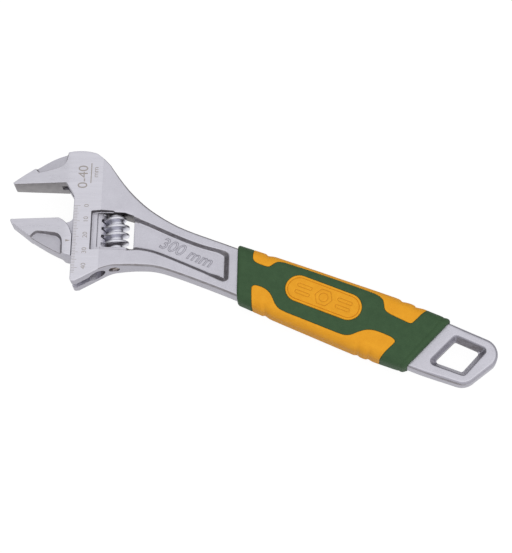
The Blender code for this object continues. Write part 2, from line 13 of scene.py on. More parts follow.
import bmesh
import bpy
import numpy as np
from mathutils import Matrix, Vector
from mathutils.geometry import delaunay_2d_cdt


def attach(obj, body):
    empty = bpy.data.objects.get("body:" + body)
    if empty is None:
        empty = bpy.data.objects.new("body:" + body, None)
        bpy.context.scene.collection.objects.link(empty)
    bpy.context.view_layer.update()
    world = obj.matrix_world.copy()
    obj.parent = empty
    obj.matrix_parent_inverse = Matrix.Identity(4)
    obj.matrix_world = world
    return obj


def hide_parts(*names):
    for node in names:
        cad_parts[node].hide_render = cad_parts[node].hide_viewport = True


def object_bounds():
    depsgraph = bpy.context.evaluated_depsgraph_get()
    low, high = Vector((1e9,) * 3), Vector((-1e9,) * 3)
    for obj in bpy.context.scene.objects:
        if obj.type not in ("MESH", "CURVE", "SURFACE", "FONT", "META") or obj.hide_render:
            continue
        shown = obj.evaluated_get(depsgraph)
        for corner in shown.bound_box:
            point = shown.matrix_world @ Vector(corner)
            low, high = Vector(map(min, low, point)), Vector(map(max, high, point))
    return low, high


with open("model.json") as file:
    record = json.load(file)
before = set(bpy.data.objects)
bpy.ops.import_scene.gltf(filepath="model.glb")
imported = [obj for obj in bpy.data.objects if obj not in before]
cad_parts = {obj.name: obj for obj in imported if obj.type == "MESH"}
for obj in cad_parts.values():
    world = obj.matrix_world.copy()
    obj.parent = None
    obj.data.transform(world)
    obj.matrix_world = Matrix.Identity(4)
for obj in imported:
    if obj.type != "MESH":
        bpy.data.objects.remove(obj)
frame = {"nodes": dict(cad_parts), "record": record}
cad_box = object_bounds()
MM = 0.001


# The frame that the CAD gives

mounts = {m["name"]: m for m in frame["record"]["mounts"]}
HEAD_CORNER_Y = 15.8
FACE_POINT_J = -22.0  # where on the head's axes the record puts its two jaw mounts
opening_axis = Vector(mounts["fixed_jaw_face"]["axis"]).normalized()
SIN = opening_axis.x
COS = -opening_axis.y
HEAD_ANGLE = math.atan2(SIN, COS)
face_point = Vector(mounts["fixed_jaw_face"]["pos_m"]) / MM
ORIGIN = face_point - Vector((FACE_POINT_J * COS, HEAD_CORNER_Y + FACE_POINT_J * SIN, 0.0))
moving_point = Vector(mounts["movable_jaw_face"]["pos_m"]) / MM
OPENING = (moving_point - face_point).dot(opening_axis)


def head(j, r):
    """The design frame's X and Y of a point given in the head's axes."""
    return (j * COS + r * SIN, HEAD_CORNER_Y + j * SIN - r * COS)


def heads(points):
    return [head(j, r) for j, r in points]


def across(points):
    """The head's j of many points."""
    return points[:, 0] * COS + (points[:, 1] - HEAD_CORNER_Y) * SIN


def down(points):
    """The head's r of many points."""
    return points[:, 0] * SIN - (points[:, 1] - HEAD_CORNER_Y) * COS


# Dimensions

HEAD_HALF = 9.25
JAW_TIP_HALF = 6.35
JAW_LENGTH = 38.6
JAW_TAPER_J = -4.0  # the jaws thin out from here to their tips
GROUND_EDGE_J = 16.7
SHANK_HALF = 5.6
SHANK_EDGE_J = 50.0
TAIL_HALF = 4.75
TAIL_START_X = 226.0
POCKET_FLOOR = 5.25
STRIP_FLOOR = 6.2
WEB_FLOOR = 2.9
HOLE_FLOOR = 0.6
CRISP_EDGE = 0.22
EYE_EDGE = 0.45
JAW_THINNER = 0.45  # how much lower the movable jaw's ground faces lie than the head's

RAIL_J = 14.9
RAIL_RADIUS = 5.0
RAIL_TOP = -8.0
RAIL_BOTTOM = 27.0
BORE_RADIUS = 5.15
BORE_TOP_R = -9.2
NECK_HALF = 2.6
SLOT_HALF = 2.9

WORM_J = 25.4
WORM_PITCH = 5.0
WORM_CREST = 8.25
WORM_ROOT = 4.9
WORM_TOP_R = 19.3
WORM_BOTTOM_R = 40.7
WORM_CREST_R = 21.3
WORM_BORE = 2.1
SPRING_POCKET = 3.1
SPRING_POCKET_DEPTH = 9.0

WINDOW_TOP_R = 19.0
WINDOW_BOTTOM_R = 41.0
WINDOW_LEFT_J = 14.5
WINDOW_RIGHT_J = 36.6

GRIP_FRONT_X = 113.6
GRIP_REAR_X = 235.0
GRIP_CORNER = 6.5
SLANT = SIN / COS
FRONT_ROUND = 1.9
REAR_ROUND = 2.5
INLAY_DEPTH = 1.1
SEAM = 0.12  # between the inlays and the shell
BADGE_PROUD = 0.37
BADGE_LINE = 0.34  # how deep the fine lines are
BADGE_CENTRE = (167.8, 2.6)
BADGE_LENGTH = 47.5
BADGE_HEIGHT = 16.6


# Plane geometry, on lists of points and on numpy arrays

def arc(centre, radius, start, end, steps):
    """Points on a round corner, from one angle to the other."""
    angles = np.radians(np.linspace(start, end, steps + 1))
    return [(centre[0] + radius * math.cos(a), centre[1] + radius * math.sin(a)) for a in angles]


def smooth(points, steps=8):
    """A Catmull-Rom curve through the points, ends included."""
    p = np.array(points, float)
    p = np.vstack([2 * p[0] - p[1], p, 2 * p[-1] - p[-2]])
    found = [p[1]]
    for a, b, c, d in zip(p, p[1:], p[2:], p[3:]):
        for t in np.linspace(0, 1, steps + 1)[1:]:
            found.append(0.5 * (2 * b + (c - a) * t + (2 * a - 5 * b + 4 * c - d) * t**2
                                + (3 * b - 3 * c + d - a) * t**3))
    return [tuple(q) for q in found]


def rounded(corners, radius, steps=6):
    """A closed outline with each corner rounded."""
    found = []
    for i, corner in enumerate(corners):
        here = Vector(corner)
        before = (Vector(corners[i - 1]) - here).normalized()
        after = (Vector(corners[(i + 1) % len(corners)]) - here).normalized()
        half = before.angle(after) / 2
        centre = here + (before + after).normalized() * radius / math.sin(half)
        start = here + before * radius / math.tan(half) - centre
        end = here + after * radius / math.tan(half) - centre
        for k in range(steps + 1):
            found.append(tuple(centre + start.lerp(end, k / steps).normalized() * radius))
    return found


def anticlockwise(outline):
    p = np.array(outline, float)
    q = np.roll(p, -1, axis=0)
    area = (p[:, 0] * q[:, 1] - q[:, 0] * p[:, 1]).sum()
    return p if area > 0 else p[::-1]


def resample(outline, step):
    """The closed outline with no side longer than the step, its corners kept."""
    p = anticlockwise(outline)
    found = []
    for a, b in zip(p, np.roll(p, -1, axis=0)):
        length = np.linalg.norm(b - a)
        if length > 1e-6:
            parts = max(1, math.ceil(length / step))
            found += [a + (b - a) * k / parts for k in range(parts)]
    return np.array(found)


def normals_of(p):
    """Each outline point's direction inwards."""
    tangent = np.roll(p, -1, axis=0) - np.roll(p, 1, axis=0)
    inward = np.stack([-tangent[:, 1], tangent[:, 0]], 1)
    return inward / np.linalg.norm(inward, axis=1, keepdims=True)


def distance(points, outline):
    """Each point's distance to the outline, above 0 inside it."""
    a = anticlockwise(outline)
    b = np.roll(a, -1, axis=0)
    best = np.full(len(points), np.inf)
    inside = np.zeros(len(points), bool)
    for p0, p1 in zip(a, b):
        side = p1 - p0
        share = ((points - p0) @ side) / max(side @ side, 1e-12)
        gap = points - p0 - np.clip(share, 0, 1)[:, None] * side
        best = np.minimum(best, (gap**2).sum(1))
        crosses = (p0[1] > points[:, 1]) != (p1[1] > points[:, 1])
        reach = p0[0] + (points[:, 1] - p0[1]) / (side[1] if side[1] else 1e-12) * side[0]
        inside ^= crosses & (points[:, 0] < reach)
    return np.where(inside, 1, -1) * np.sqrt(best)


def soft_min(a, b, blend):
    return np.minimum(a, b) - np.maximum(blend - np.abs(a - b), 0) ** 2 / (4 * blend)


def soft_max(a, b, blend):
    return -soft_min(-a, -b, blend)


def sunk(top, floor, depth_in, slope, rim, foot):
    """The height of a recess: its wall falls by slope for each millimetre in from its outline."""
    return soft_min(top, soft_max(top - slope * depth_in, floor, foot), rim)


def edge_drop(inside, radius):
    """How far a rounded edge has fallen at a distance inside the outline."""
    short = np.clip(radius - inside, 0, radius)
    return radius - np.sqrt(np.maximum(radius**2 - short**2, 0))


def step_between(low, high, x):
    t = np.clip((x - low) / (high - low), 0, 1)
    return t * t * (3 - 2 * t)


# Meshing a flat domain

class Domain:
    """Points and lines gathered for one triangulation."""

    def __init__(self, cell=0.5):
        self.points = []
        self.edges = []
        self.cell = cell
        self.taken = {}
        self.kept_clear = []  # outlines whose own rings no other ring may crowd, with widths

    def near(self, p, gap):
        reach = math.ceil(gap / self.cell)
        cx, cy = int(p[0] // self.cell), int(p[1] // self.cell)
        for ix in range(cx - reach, cx + reach + 1):
            for iy in range(cy - reach, cy + reach + 1):
                for q in self.taken.get((ix, iy), ()):
                    if (p[0] - q[0]) ** 2 + (p[1] - q[1]) ** 2 < gap * gap:
                        return True
        return False

    def add(self, p):
        self.taken.setdefault((int(p[0] // self.cell), int(p[1] // self.cell)), []).append(p)
        self.points.append((float(p[0]), float(p[1])))
        return len(self.points) - 1

    def line(self, points, closed=True):
        """A line that the triangles keep to."""
        ids = [self.add(p) for p in points]
        self.edges += list(zip(ids, ids[1:]))
        if closed:
            self.edges.append((ids[-1], ids[0]))

    def ring(self, outline, offsets, gap=0.05):
        """Points beside an outline, at offsets inwards, one number or one for each point."""
        inward = normals_of(outline)
        for offset in offsets:
            moved = outline + inward * np.reshape(offset, (-1, 1))
            off = np.abs(distance(moved, outline))
            keep = off > 0.93 * np.abs(np.broadcast_to(np.ravel(offset), off.shape))
            for other, width in self.kept_clear:
                keep &= np.abs(distance(moved, other)) > width
            for p in moved[keep]:
                if not self.near(p, gap):
                    self.add(p)

    def wall(self, outline, foot, gap=0.12):
        """Lines along the rim and the foot of a recess's wall, so that both come out clean."""
        moved = outline + normals_of(outline) * np.reshape(foot, (-1, 1))
        for points in (outline, moved):
            clear = np.abs(distance(points, outline)) >= 0.93 * np.abs(np.ravel(foot)) * (points is moved)
            for other, width in self.kept_clear:
                clear &= np.abs(distance(points, other)) > width
            last = None
            for p, fine in zip(points, clear):
                fine = fine and not self.near(p, gap if last is None else 0.02)
                here = self.add(p) if fine else None
                if last is not None and here is not None:
                    self.edges.append((last, here))
                last = here

    def fill(self, outline, spacing):
        """A field of points in the outline, away from those already there."""
        low, high = np.min(outline, axis=0), np.max(outline, axis=0)
        rows = int((high[1] - low[1]) / (spacing * 0.866)) + 1
        cols = int((high[0] - low[0]) / spacing) + 1
        grid = [(low[0] + (c + 0.5 * (r % 2)) * spacing, low[1] + r * spacing * 0.866)
                for r in range(rows) for c in range(cols)]
        grid = np.array(grid)
        for p in grid[distance(grid, outline) > 0.3 * spacing]:
            if not self.near(p, 0.55 * spacing):
                self.add(p)

    def triangles(self, keep):
        """The triangulation's points and the triangles whose middles are kept, all facing up."""
        made = delaunay_2d_cdt([Vector(p) for p in self.points], self.edges, [], 0, 1e-5)
        points = np.array([tuple(v) for v in made[0]])
        faces = np.array(made[2])
        one = points[faces[:, 1]] - points[faces[:, 0]]
        two = points[faces[:, 2]] - points[faces[:, 0]]
        turn = one[:, 0] * two[:, 1] - one[:, 1] * two[:, 0]
        faces[turn < 0] = faces[turn < 0][:, ::-1]
        faces = faces[np.abs(turn) > 1e-5]
        return points, faces[keep(points[faces].mean(axis=1))]


def boundary_edges(faces):
    """The edges that only one triangle has, in that triangle's direction."""
    edges = np.vstack([faces[:, [0, 1]], faces[:, [1, 2]], faces[:, [2, 0]]])
    key = np.sort(edges, axis=1)
    order = np.lexsort((key[:, 1], key[:, 0]))
    ranked = key[order]
    same = (ranked[1:] == ranked[:-1]).all(axis=1)
    single = np.ones(len(edges), bool)
    single[1:] &= ~same
    single[:-1] &= ~same
    return edges[order[single]]


def mesh_of(name, points, faces):
    """A mesh from points in the design frame and faces, kept inside the CAD model's box."""
    mesh = bpy.data.meshes.new(name)
    placed = (np.asarray(points, float) + np.array(ORIGIN)) * MM
    if name.endswith("_fine"):
        placed = np.clip(placed, np.array(cad_box[0]), np.array(cad_box[1]))
    mesh.from_pydata(placed.tolist(), [], [tuple(int(i) for i in f) for f in faces])
    mesh.validate()
    mesh.update()
    return mesh


def closed_slab(name, flat, faces, height):
    """A plate with this half thickness at each point, its two faces joined by its side walls."""
    used = np.unique(faces)
    place = np.full(len(flat), -1)
    place[used] = np.arange(len(used))
    flat, faces, height = flat[used], place[faces], height[used]
    count = len(flat)
    points = np.vstack([np.column_stack([flat, height]), np.column_stack([flat, -height])])
    walls = [(int(i), int(i) + count, int(k) + count, int(k)) for i, k in boundary_edges(faces)]
    every = [tuple(f) for f in faces] + [tuple(f[::-1] + count) for f in faces] + walls
    return mesh_of(name, points, every)


def linked(name, data):
    """A new object in the scene."""
    obj = bpy.data.objects.new(name, data)
    bpy.context.scene.collection.objects.link(obj)
    return obj


def piece(name, mesh, body, looks, nodes=()):
    """A visible piece, riding on a CAD body and standing for CAD nodes."""
    obj = linked(name, mesh)
    for look in looks:
        mesh.materials.append(look)
    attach(obj, body)
    if nodes:
        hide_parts(*nodes)
    return obj


def smooth_faces(mesh, angle=35):
    mesh.shade_smooth()
    mesh.set_sharp_from_angle(angle=math.radians(angle))


def weld(mesh, gap=1e-6, degenerate=False):
    """Joins vertices in the same place and turns the faces outwards."""
    shape = bmesh.new()
    shape.from_mesh(mesh)
    bmesh.ops.remove_doubles(shape, verts=shape.verts, dist=gap)
    if degenerate:
        bmesh.ops.dissolve_degenerate(shape, dist=1e-8, edges=shape.edges)
    bmesh.ops.recalc_face_normals(shape, faces=shape.faces)
    shape.to_mesh(mesh)
    shape.free()
    return mesh


def combined(mesh, others, operation):
    """The mesh with the others cut from it or joined to it."""
    target = linked("target", mesh)
    tools = [linked("tool", other) for other in others]
    for tool in tools:
        boolean = target.modifiers.new("combine", "BOOLEAN")
        boolean.operation = operation
        boolean.solver = "EXACT"
        boolean.object = tool
    evaluated = target.evaluated_get(bpy.context.evaluated_depsgraph_get())
    made = bpy.data.meshes.new_from_object(evaluated)
    for obj in [target, *tools]:
        bpy.data.objects.remove(obj, do_unlink=True)
    made.materials.clear()
    return made


def prism(outline, low, high):
    """A straight block with this outline, from low to high along Z."""
    flat = anticlockwise(outline)
    count = len(flat)
    points = np.vstack([np.column_stack([flat, np.full(count, low)]),
                        np.column_stack([flat, np.full(count, high)])])
    sides = [(i, (i + 1) % count, (i + 1) % count + count, i + count) for i in range(count)]
    caps = [tuple(range(count))[::-1], tuple(range(count, 2 * count))]
    return mesh_of("prism", points, sides + caps)


def turned(name, j, profile, segments=64):
    """A solid turned about an axis along r at this j, from a closed (radius, r) profile."""
    count = len(profile)
    points = []
    for k in range(segments):
        angle = 2 * math.pi * k / segments
        for radius, r in profile:
            x, y = head(j + radius * math.cos(angle), r)
            points.append((x, y, radius * math.sin(angle)))
    faces = []
    for k in range(segments):
        for i in range(count):
            a, b = k * count, (k + 1) % segments * count
            faces.append((a + i, a + (i + 1) % count, b + (i + 1) % count, b + i))
    return weld(mesh_of(name, points, faces), 1e-7, True)


def face_facts(mesh):
    """Each face's middle in the design frame, and its normal."""
    count = len(mesh.polygons)
    middle = np.empty(count * 3)
    normal = np.empty(count * 3)
    mesh.polygons.foreach_get("center", middle)
    mesh.polygons.foreach_get("normal", normal)
    return middle.reshape(-1, 3) / MM - np.array(ORIGIN), normal.reshape(-1, 3)


# Materials

def new_node(tree, kind, values=(), links=(), **settings):
    """A node with its settings, its sockets' values and the sockets that feed it."""
    made = tree.nodes.new(kind)
    for key, value in settings.items():
        setattr(made, key, value)
    for key, value in dict(values).items():
        made.inputs[key].default_value = value
    for key, source in dict(links).items():
        tree.links.new(source, made.inputs[key])
    return made


class Nodes:
    """A short way to write a material's nodes."""

    def __init__(self, name, colour, roughness, metallic):
        self.material = bpy.data.materials.new(name)
        self.material.use_nodes = True
        self.tree = self.material.node_tree
        self.shader = self.tree.nodes["Principled BSDF"]
        self.shader.inputs["Base Color"].default_value = (*colour, 1)
        self.shader.inputs["Roughness"].default_value = roughness
        self.shader.inputs["Metallic"].default_value = metallic
        self.place = self.tree.nodes.new("ShaderNodeTexCoord").outputs["Object"]

    def node(self, *kind_and_sockets, **settings):
        return new_node(self.tree, *kind_and_sockets, **settings)

    def stretched(self, angle, scale):
        """The place turned about Z by the angle, then scaled along each axis."""
        turned_place = self.node("ShaderNodeMapping", {"Rotation": (0, 0, -angle)},
                                 {"Vector": self.place})
        return self.node("ShaderNodeMapping", {"Scale": scale},
                         {"Vector": turned_place.outputs[0]}).outputs[0]

    def noise(self, scale, detail=3.0, roughness=0.5, place=None):
        values = {"Scale": scale, "Detail": detail, "Roughness": roughness}
        return self.node("ShaderNodeTexNoise", values, {"Vector": place or self.place}).outputs["Fac"]

    def ramp(self, source, low, high, low_value, high_value):
        values = {"From Min": low, "From Max": high, "To Min": low_value, "To Max": high_value}
        return self.node("ShaderNodeMapRange", values, {"Value": source}).outputs[0]

    def math(self, operation, a, b):
        made = self.node("ShaderNodeMath", operation=operation)
        for socket, value in zip(made.inputs, (a, b)):
            if isinstance(value, (int, float)):
                socket.default_value = value
            else:
                self.tree.links.new(value, socket)
        return made.outputs[0]

    def added(self, a, a_share, b, b_share):
        return self.math("ADD", self.math("MULTIPLY", a, a_share), self.math("MULTIPLY", b, b_share))

    def colour(self, source, low, high, dark, light):
        """The base colour, from dark to light while the source goes from low to high."""
        mix = self.node("ShaderNodeMix", {"A": (*dark, 1), "B": (*light, 1)},
                        {"Factor": self.ramp(source, low, high, 0, 1)}, data_type="RGBA")
        self.set("Base Color", mix.outputs["Result"])

    def roughness(self, source, low, high):
        self.set("Roughness", self.ramp(source, 0.3, 0.7, low, high))

    def bump(self, height, depth):
        made = self.node("ShaderNodeBump", {"Strength": 1.0, "Distance": depth}, {"Height": height})
        self.tree.links.new(made.outputs[0], self.shader.inputs["Normal"])

    def set(self, name, source):
        self.tree.links.new(source, self.shader.inputs[name])


def satin_steel(name="satin_steel", light=(0.65, 0.64, 0.70), dark=(0.55, 0.54, 0.595)):
    """Bead-blasted plating: an even grain of tiny dimples and a faint cloudiness."""
    m = Nodes(name, light, 0.4, 1.0)
    grain = m.noise(2600, 2.0, 0.6)
    cloud = m.noise(60, 4.0, 0.6)
    m.colour(m.math("ADD", grain, cloud), 0.75, 1.25, dark, light)
    m.roughness(cloud, 0.36, 0.46)
    m.bump(m.math("ADD", grain, m.noise(5200, 1.0)), 0.00003)
    return m.material


def ground_steel():
    """A flat ground face: long fine scratches along j, with some broader bands."""
    m = Nodes("ground_steel", (0.60, 0.59, 0.64), 0.3, 1.0)
    fine = m.noise(1, 3.0, 0.6, m.stretched(HEAD_ANGLE, (70, 3600, 3600)))
    bands = m.noise(1, 2.0, 0.5, m.stretched(HEAD_ANGLE, (25, 500, 500)))
    both = m.added(fine, 0.65, bands, 0.35)
    m.colour(both, 0.36, 0.64, (0.65, 0.64, 0.695), (0.71, 0.70, 0.76))
    m.roughness(both, 0.24, 0.40)
    m.bump(fine, 0.00001)
    return m.material


def forged_steel():
    """Recess walls, bores and rounded edges: the same plating over a rougher, darker forging; the
    darkness is partly painted shade on these walls and edges.
    """
    m = Nodes("forged_steel", (0.30, 0.285, 0.30), 0.5, 1.0)
    streaks = m.noise(1, 4.0, 0.65, m.stretched(0.3, (220, 900, 260)))
    grain = m.noise(2400, 2.0, 0.6)
    both = m.added(streaks, 0.7, grain, 0.3)
    m.colour(both, 0.38, 0.62, (0.24, 0.22, 0.23), (0.36, 0.35, 0.375))
    m.roughness(both, 0.42, 0.56)
    m.bump(both, 0.00005)
    return m.material


def gripping_steel():
    """The jaws' faces, ground across and greyer."""
    m = Nodes("gripping_steel", (0.26, 0.245, 0.26), 0.42, 1.0)
    lines = m.noise(1, 3.0, 0.6, m.stretched(HEAD_ANGLE, (3000, 3000, 60)))
    wear = m.noise(300, 4.0, 0.65)
    m.colour(m.math("ADD", lines, wear), 0.8, 1.2, (0.21, 0.20, 0.21), (0.28, 0.265, 0.275))
    m.roughness(lines, 0.34, 0.5)
    m.bump(lines, 0.00001)
    return m.material


def dark_steel():
    """The worm and its pin: smooth steel with faint turning marks round its axis, its colour raised above
    the satin steel's as painted light on the worm in its window.
    """
    m = Nodes("dark_steel", (0.58, 0.58, 0.62), 0.36, 1.0)
    rings = m.noise(1, 2.0, 0.6, m.stretched(HEAD_ANGLE, (300, 2600, 300)))
    cloud = m.noise(1500, 2.0, 0.5)
    m.colour(m.math("ADD", rings, cloud), 0.8, 1.2, (0.66, 0.66, 0.71), (0.78, 0.78, 0.84))
    m.roughness(rings, 0.28, 0.38)
    m.bump(rings, 0.00001)
    return m.material


def etched():
    """Laser-marked lines and figures: a dull, slightly brown grey."""
    m = Nodes("etched_mark", (0.40, 0.36, 0.34), 0.6, 0.5)
    m.colour(m.noise(3000, 2.0, 0.6), 0.35, 0.65, (0.34, 0.31, 0.29), (0.45, 0.41, 0.39))
    return m.material


def rubber(name, dark, light, roughness):
    """A moulded soft rubber with a fine matt grain and faint mottling."""
    m = Nodes(name, light, roughness, 0.0)
    grain = m.noise(3200, 2.0, 0.6)
    mottle = m.noise(220, 5.0, 0.7)
    m.colour(m.math("ADD", grain, mottle), 0.8, 1.2, dark, light)
    m.roughness(mottle, roughness - 0.05, roughness + 0.06)
    m.shader.inputs["Specular IOR Level"].default_value = 0.2
    m.bump(grain, 0.00005)
    return m.material


LOOKS = {
    "satin": satin_steel(),
    # The side steel is a darker copy of the satin steel for outer side walls, the tail's sloping edges
    # and the size's outline: painted shade.
    "side": satin_steel("side_painted_shade", (0.43, 0.42, 0.47), (0.35, 0.34, 0.385)),
    # The pocket steel, a darker copy of the satin steel on the pockets' floors, is painted shade in the
    # recesses.
    "pocket_shade": satin_steel("pocket_painted_shade", (0.56, 0.55, 0.60), (0.47, 0.46, 0.51)),
    # The near-black bore steel on upright walls deep in the body, in the window, bores and slot, is
    # painted shade.
    "bore": satin_steel("bore_painted_shade", (0.15, 0.14, 0.145), (0.10, 0.09, 0.095)),
    "screw": satin_steel("screw_steel", (0.42, 0.37, 0.34), (0.30, 0.26, 0.24)),
    "ground": ground_steel(),
    "gripping": gripping_steel(),
    "forged_shaded": forged_steel(),
    # The worm's steel is lighter than the satin steel: its colour is painted light.
    "dark": dark_steel(),
    "etched": etched(),
    "green": rubber("green_rubber", (0.038, 0.085, 0.036), (0.052, 0.108, 0.048), 0.6),
    # The darker yellow on the badge's grooves is painted shade.
    "line": rubber("yellow_rubber_painted_shade", (0.60, 0.235, 0.008), (0.70, 0.280, 0.012), 0.62),
    "yellow": rubber("yellow_rubber", (0.84, 0.350, 0.012), (0.92, 0.410, 0.020), 0.58),
}
STEELS = [LOOKS[name] for name in ("satin", "ground", "gripping", "forged_shaded", "side", "bore", "pocket_shade")]
SATIN, GROUND, GRIPPING, FORGED_SHADED, SIDE_SHADE, BORE_SHADE, POCKET_SHADE = range(len(STEELS))


# Body

CORE_WIDTH = [(100, 14.0), (120, 14.3), (160, 15.5), (200, 16.4), (232, 17.0), (246, 16.8)]


def body_outline():
    top = smooth(heads([
        (-38.5, -0.6), (-37.8, -1.5), (-31.5, -5.9), (-25.2, -9.9), (-16.8, -15.2), (-10.8, -18.2),
        (-3.8, -20.3), (3.2, -20.9), (9.9, -20.0), (14.0, -18.2), (20.5, -12.3)])
        + [(18.5, 32.3), (27.6, 26.7), (36.8, 22.1), (48.8, 17.7), (63.5, 14.6), (77, 13.6),
           *CORE_WIDTH, (265.2, 15.9)])
    tail = arc((265.2, 6.0), 9.9, 85, -22, 18) + arc((258.0, -6.0), 10.2, -25, -88, 12)
    bottom = smooth([(x, -y) for x, y in reversed(CORE_WIDTH)]
                    + [(78, -14.3), (66, -15.5), (55, -19.1), (44, -23.9), head(21.7, 54.0),
                       head(16.5, 56.2)])
    foot = [head(3.4, 63.5)] + arc(head(1.5, 62.2), 1.5, -55, -160, 6)
    throat = [head(0, 11.5)] + smooth(heads([
        (-0.1, 10.4), (-0.4, 9.0), (-1.3, 6.6), (-3.0, 3.9), (-5.5, 0.0)]), 4) + [head(-37.9, 0.0)]
    return top + tail + bottom + foot + throat


def window_outline():
    corners = heads([
        (WINDOW_LEFT_J, WINDOW_TOP_R), (31.0, WINDOW_TOP_R), (WINDOW_RIGHT_J, 20.9),
        (WINDOW_RIGHT_J, WINDOW_BOTTOM_R + 1.2), (31.0, WINDOW_BOTTOM_R),
        (WINDOW_LEFT_J, WINDOW_BOTTOM_R)])
    return rounded(corners, 0.5, 3)


def strip_outline():
    return rounded(heads([
        (10.9, 18.6), (17.0, 18.1), (24.2, 18.1), (25.8, 20.0), (38.5, 20.9), (38.5, 42.9),
        (24.0, 42.9), (10.9, 43.7)]), 0.7, 4)


def web_outline():
    top = smooth([(42.4, 9.4), (52.4, 9.2), (66, 8.4), (78, 8.0), (88, 8.2), (96, 9.0)])
    corner = smooth([(101.4, 9.55), (103.2, 9.2), (104.6, 8.2), (105.6, 6.2)])
    heel = smooth([(110.0, -5.0), (110.2, -6.6), (109.4, -8.1), (107.6, -8.9), (104.8, -8.9)])
    bottom = smooth([(96, -8.2), (86, -7.8), (74, -7.4), (66, -7.3), (59.8, -7.6), (54, -8.8),
                     (50.3, -10.1)])
    return [head(33.0, 20.4)] + top + corner + heel + bottom + [head(33.0, 43.0)]


def fixed_pocket_outline():
    inner = smooth(heads([
        (-24.6, -9.1), (-23.4, -7.6), (-22.0, -7.3), (-16.2, -8.4), (-10.2, -10.3), (-7.4, -12.0),
        (-6.0, -14.4), (-5.0, -18.6)]), 5)
    return inner + [head(-5.2, -26.0), head(-18.0, -24.0), head(-29.0, -14.0)]


def hang_hole(inwards, radius):
    corners = [(247.2, 11.5), (268.6, 10.3), (261.0, -10.5), (237.8, -10.9)]
    moved = []
    for i in range(4):
        here, before, after = (Vector(corners[k % 4]) for k in (i, i - 1, i + 1))
        one = (before - here).normalized()
        two = (after - here).normalized()
        reach = inwards / math.sin(one.angle(two))
        moved.append(tuple(here + (one + two) * reach))
    return rounded(moved, radius)


def eye_outline():
    """The opening right through, its left side nearer the hole's edge than the others."""
    shifted = []
    for x, y in hang_hole(3.15, 1.4):
        share = step_between(256.0, 246.0, x - 0.43 * y)
        shifted.append((x - 0.8 * share, y))
    return shifted


OUTLINES = {
    "body": body_outline(),
    "window": window_outline(),
    "strip": strip_outline(),
    "web": web_outline(),
    "pocket": fixed_pocket_outline(),
    "hang_hole": hang_hole(0.0, 2.8),
    "eye": eye_outline(),
}


def within(points, name):
    """Each point's distance inside one of the outlines, below 0 outside it."""
    return distance(points, OUTLINES[name])


def base_half(points):
    """Half the forging's thickness before its edges and recesses."""
    j, x = across(points), points[:, 0]
    jaw = HEAD_HALF + (HEAD_HALF - JAW_TIP_HALF) * (j - JAW_TAPER_J) / (JAW_LENGTH + JAW_TAPER_J)
    fall = np.clip((SHANK_EDGE_J - j) / (SHANK_EDGE_J - GROUND_EDGE_J), 0, 1)
    shoulder = SHANK_HALF + (HEAD_HALF - SHANK_HALF) * fall**2
    shank = SHANK_HALF + (TAIL_HALF - SHANK_HALF) * step_between(150, TAIL_START_X, x)
    half = np.where(j < SHANK_EDGE_J, shoulder, shank)
    return np.where(j < JAW_TAPER_J, jaw, half)


def edge_radius(points):
    """The body's edges are crisp on the ground head and soft on the handle."""
    j = across(points)
    soft = 0.4 + 1.0 * step_between(GROUND_EDGE_J - 2, 40.0, j)
    soft = soft + 0.7 * step_between(236.0, 252.0, points[:, 0])
    on_face = (np.abs(down(points)) < 1.0) & (j < -5.0)
    return np.where(on_face, CRISP_EDGE, soft)


def web_wall_width(points):
    """The web's walls are steep along the handle and drafted at the grip's end."""
    width = 1.5 + 0.5 * step_between(2, -2, points[:, 1])
    return width + (3.0 - width) * step_between(97, 104, points[:, 0])


# A recess's floor height, its wall's slope, the rounding at the wall's rim and foot, the wall's
# width, the spacing of the points round it, and how far inside its outline more points lie. The
# web's slope and width change along it.
Recess = namedtuple("Recess", "floor slope rim foot wall spacing offsets")
RECESSES = {
    "strip": Recess(STRIP_FLOOR, 8.0, 0.25, 0.3, 0.38, 0.6,
                    [-0.3, -0.1, 0.08, 0.2, 0.3, 0.5, 0.75]),
    "web": Recess(WEB_FLOOR, None, 0.7, 0.6, None, 0.7,
                  [-0.8, -0.5, -0.25, 0.2, 0.45, 0.75, 1.05, 1.35, 1.7, 2.1, 2.6, 3.1, 3.6]),
    "pocket": Recess(POCKET_FLOOR, 3.5, 0.35, 0.5, 1.0, 0.6,
                     [-0.35, -0.15, 0.15, 0.35, 0.6, 0.85, 1.15, 1.4]),
    "hang_hole": Recess(HOLE_FLOOR, (TAIL_HALF - HOLE_FLOOR) / 2.95, 0.7, 0.25, 2.8, 0.7,
                        [-0.6, -0.3, 0.3, 0.6, 1.0, 1.6, 2.2, 2.5]),
}


def body_half(points):
    half = base_half(points)
    for name, recess in RECESSES.items():
        slope = recess.slope or (SHANK_HALF - WEB_FLOOR) / web_wall_width(points)
        half = sunk(half, recess.floor, within(points, name), slope, recess.rim, recess.foot)
    half = half - edge_drop(within(points, "body"), edge_radius(points))
    for name, radius in (("window", CRISP_EDGE), ("eye", EYE_EDGE)):
        half = half - edge_drop(-within(points, name), radius)
    return half


LEVEL_WITHIN = 0.07  # how near the plain form's height a face counts as level
# Where the lines along a rounded edge lie, as shares of its radius
QUARTER = [1 - math.cos(math.radians(a)) for a in (12, 25, 40, 55, 72, 90)]


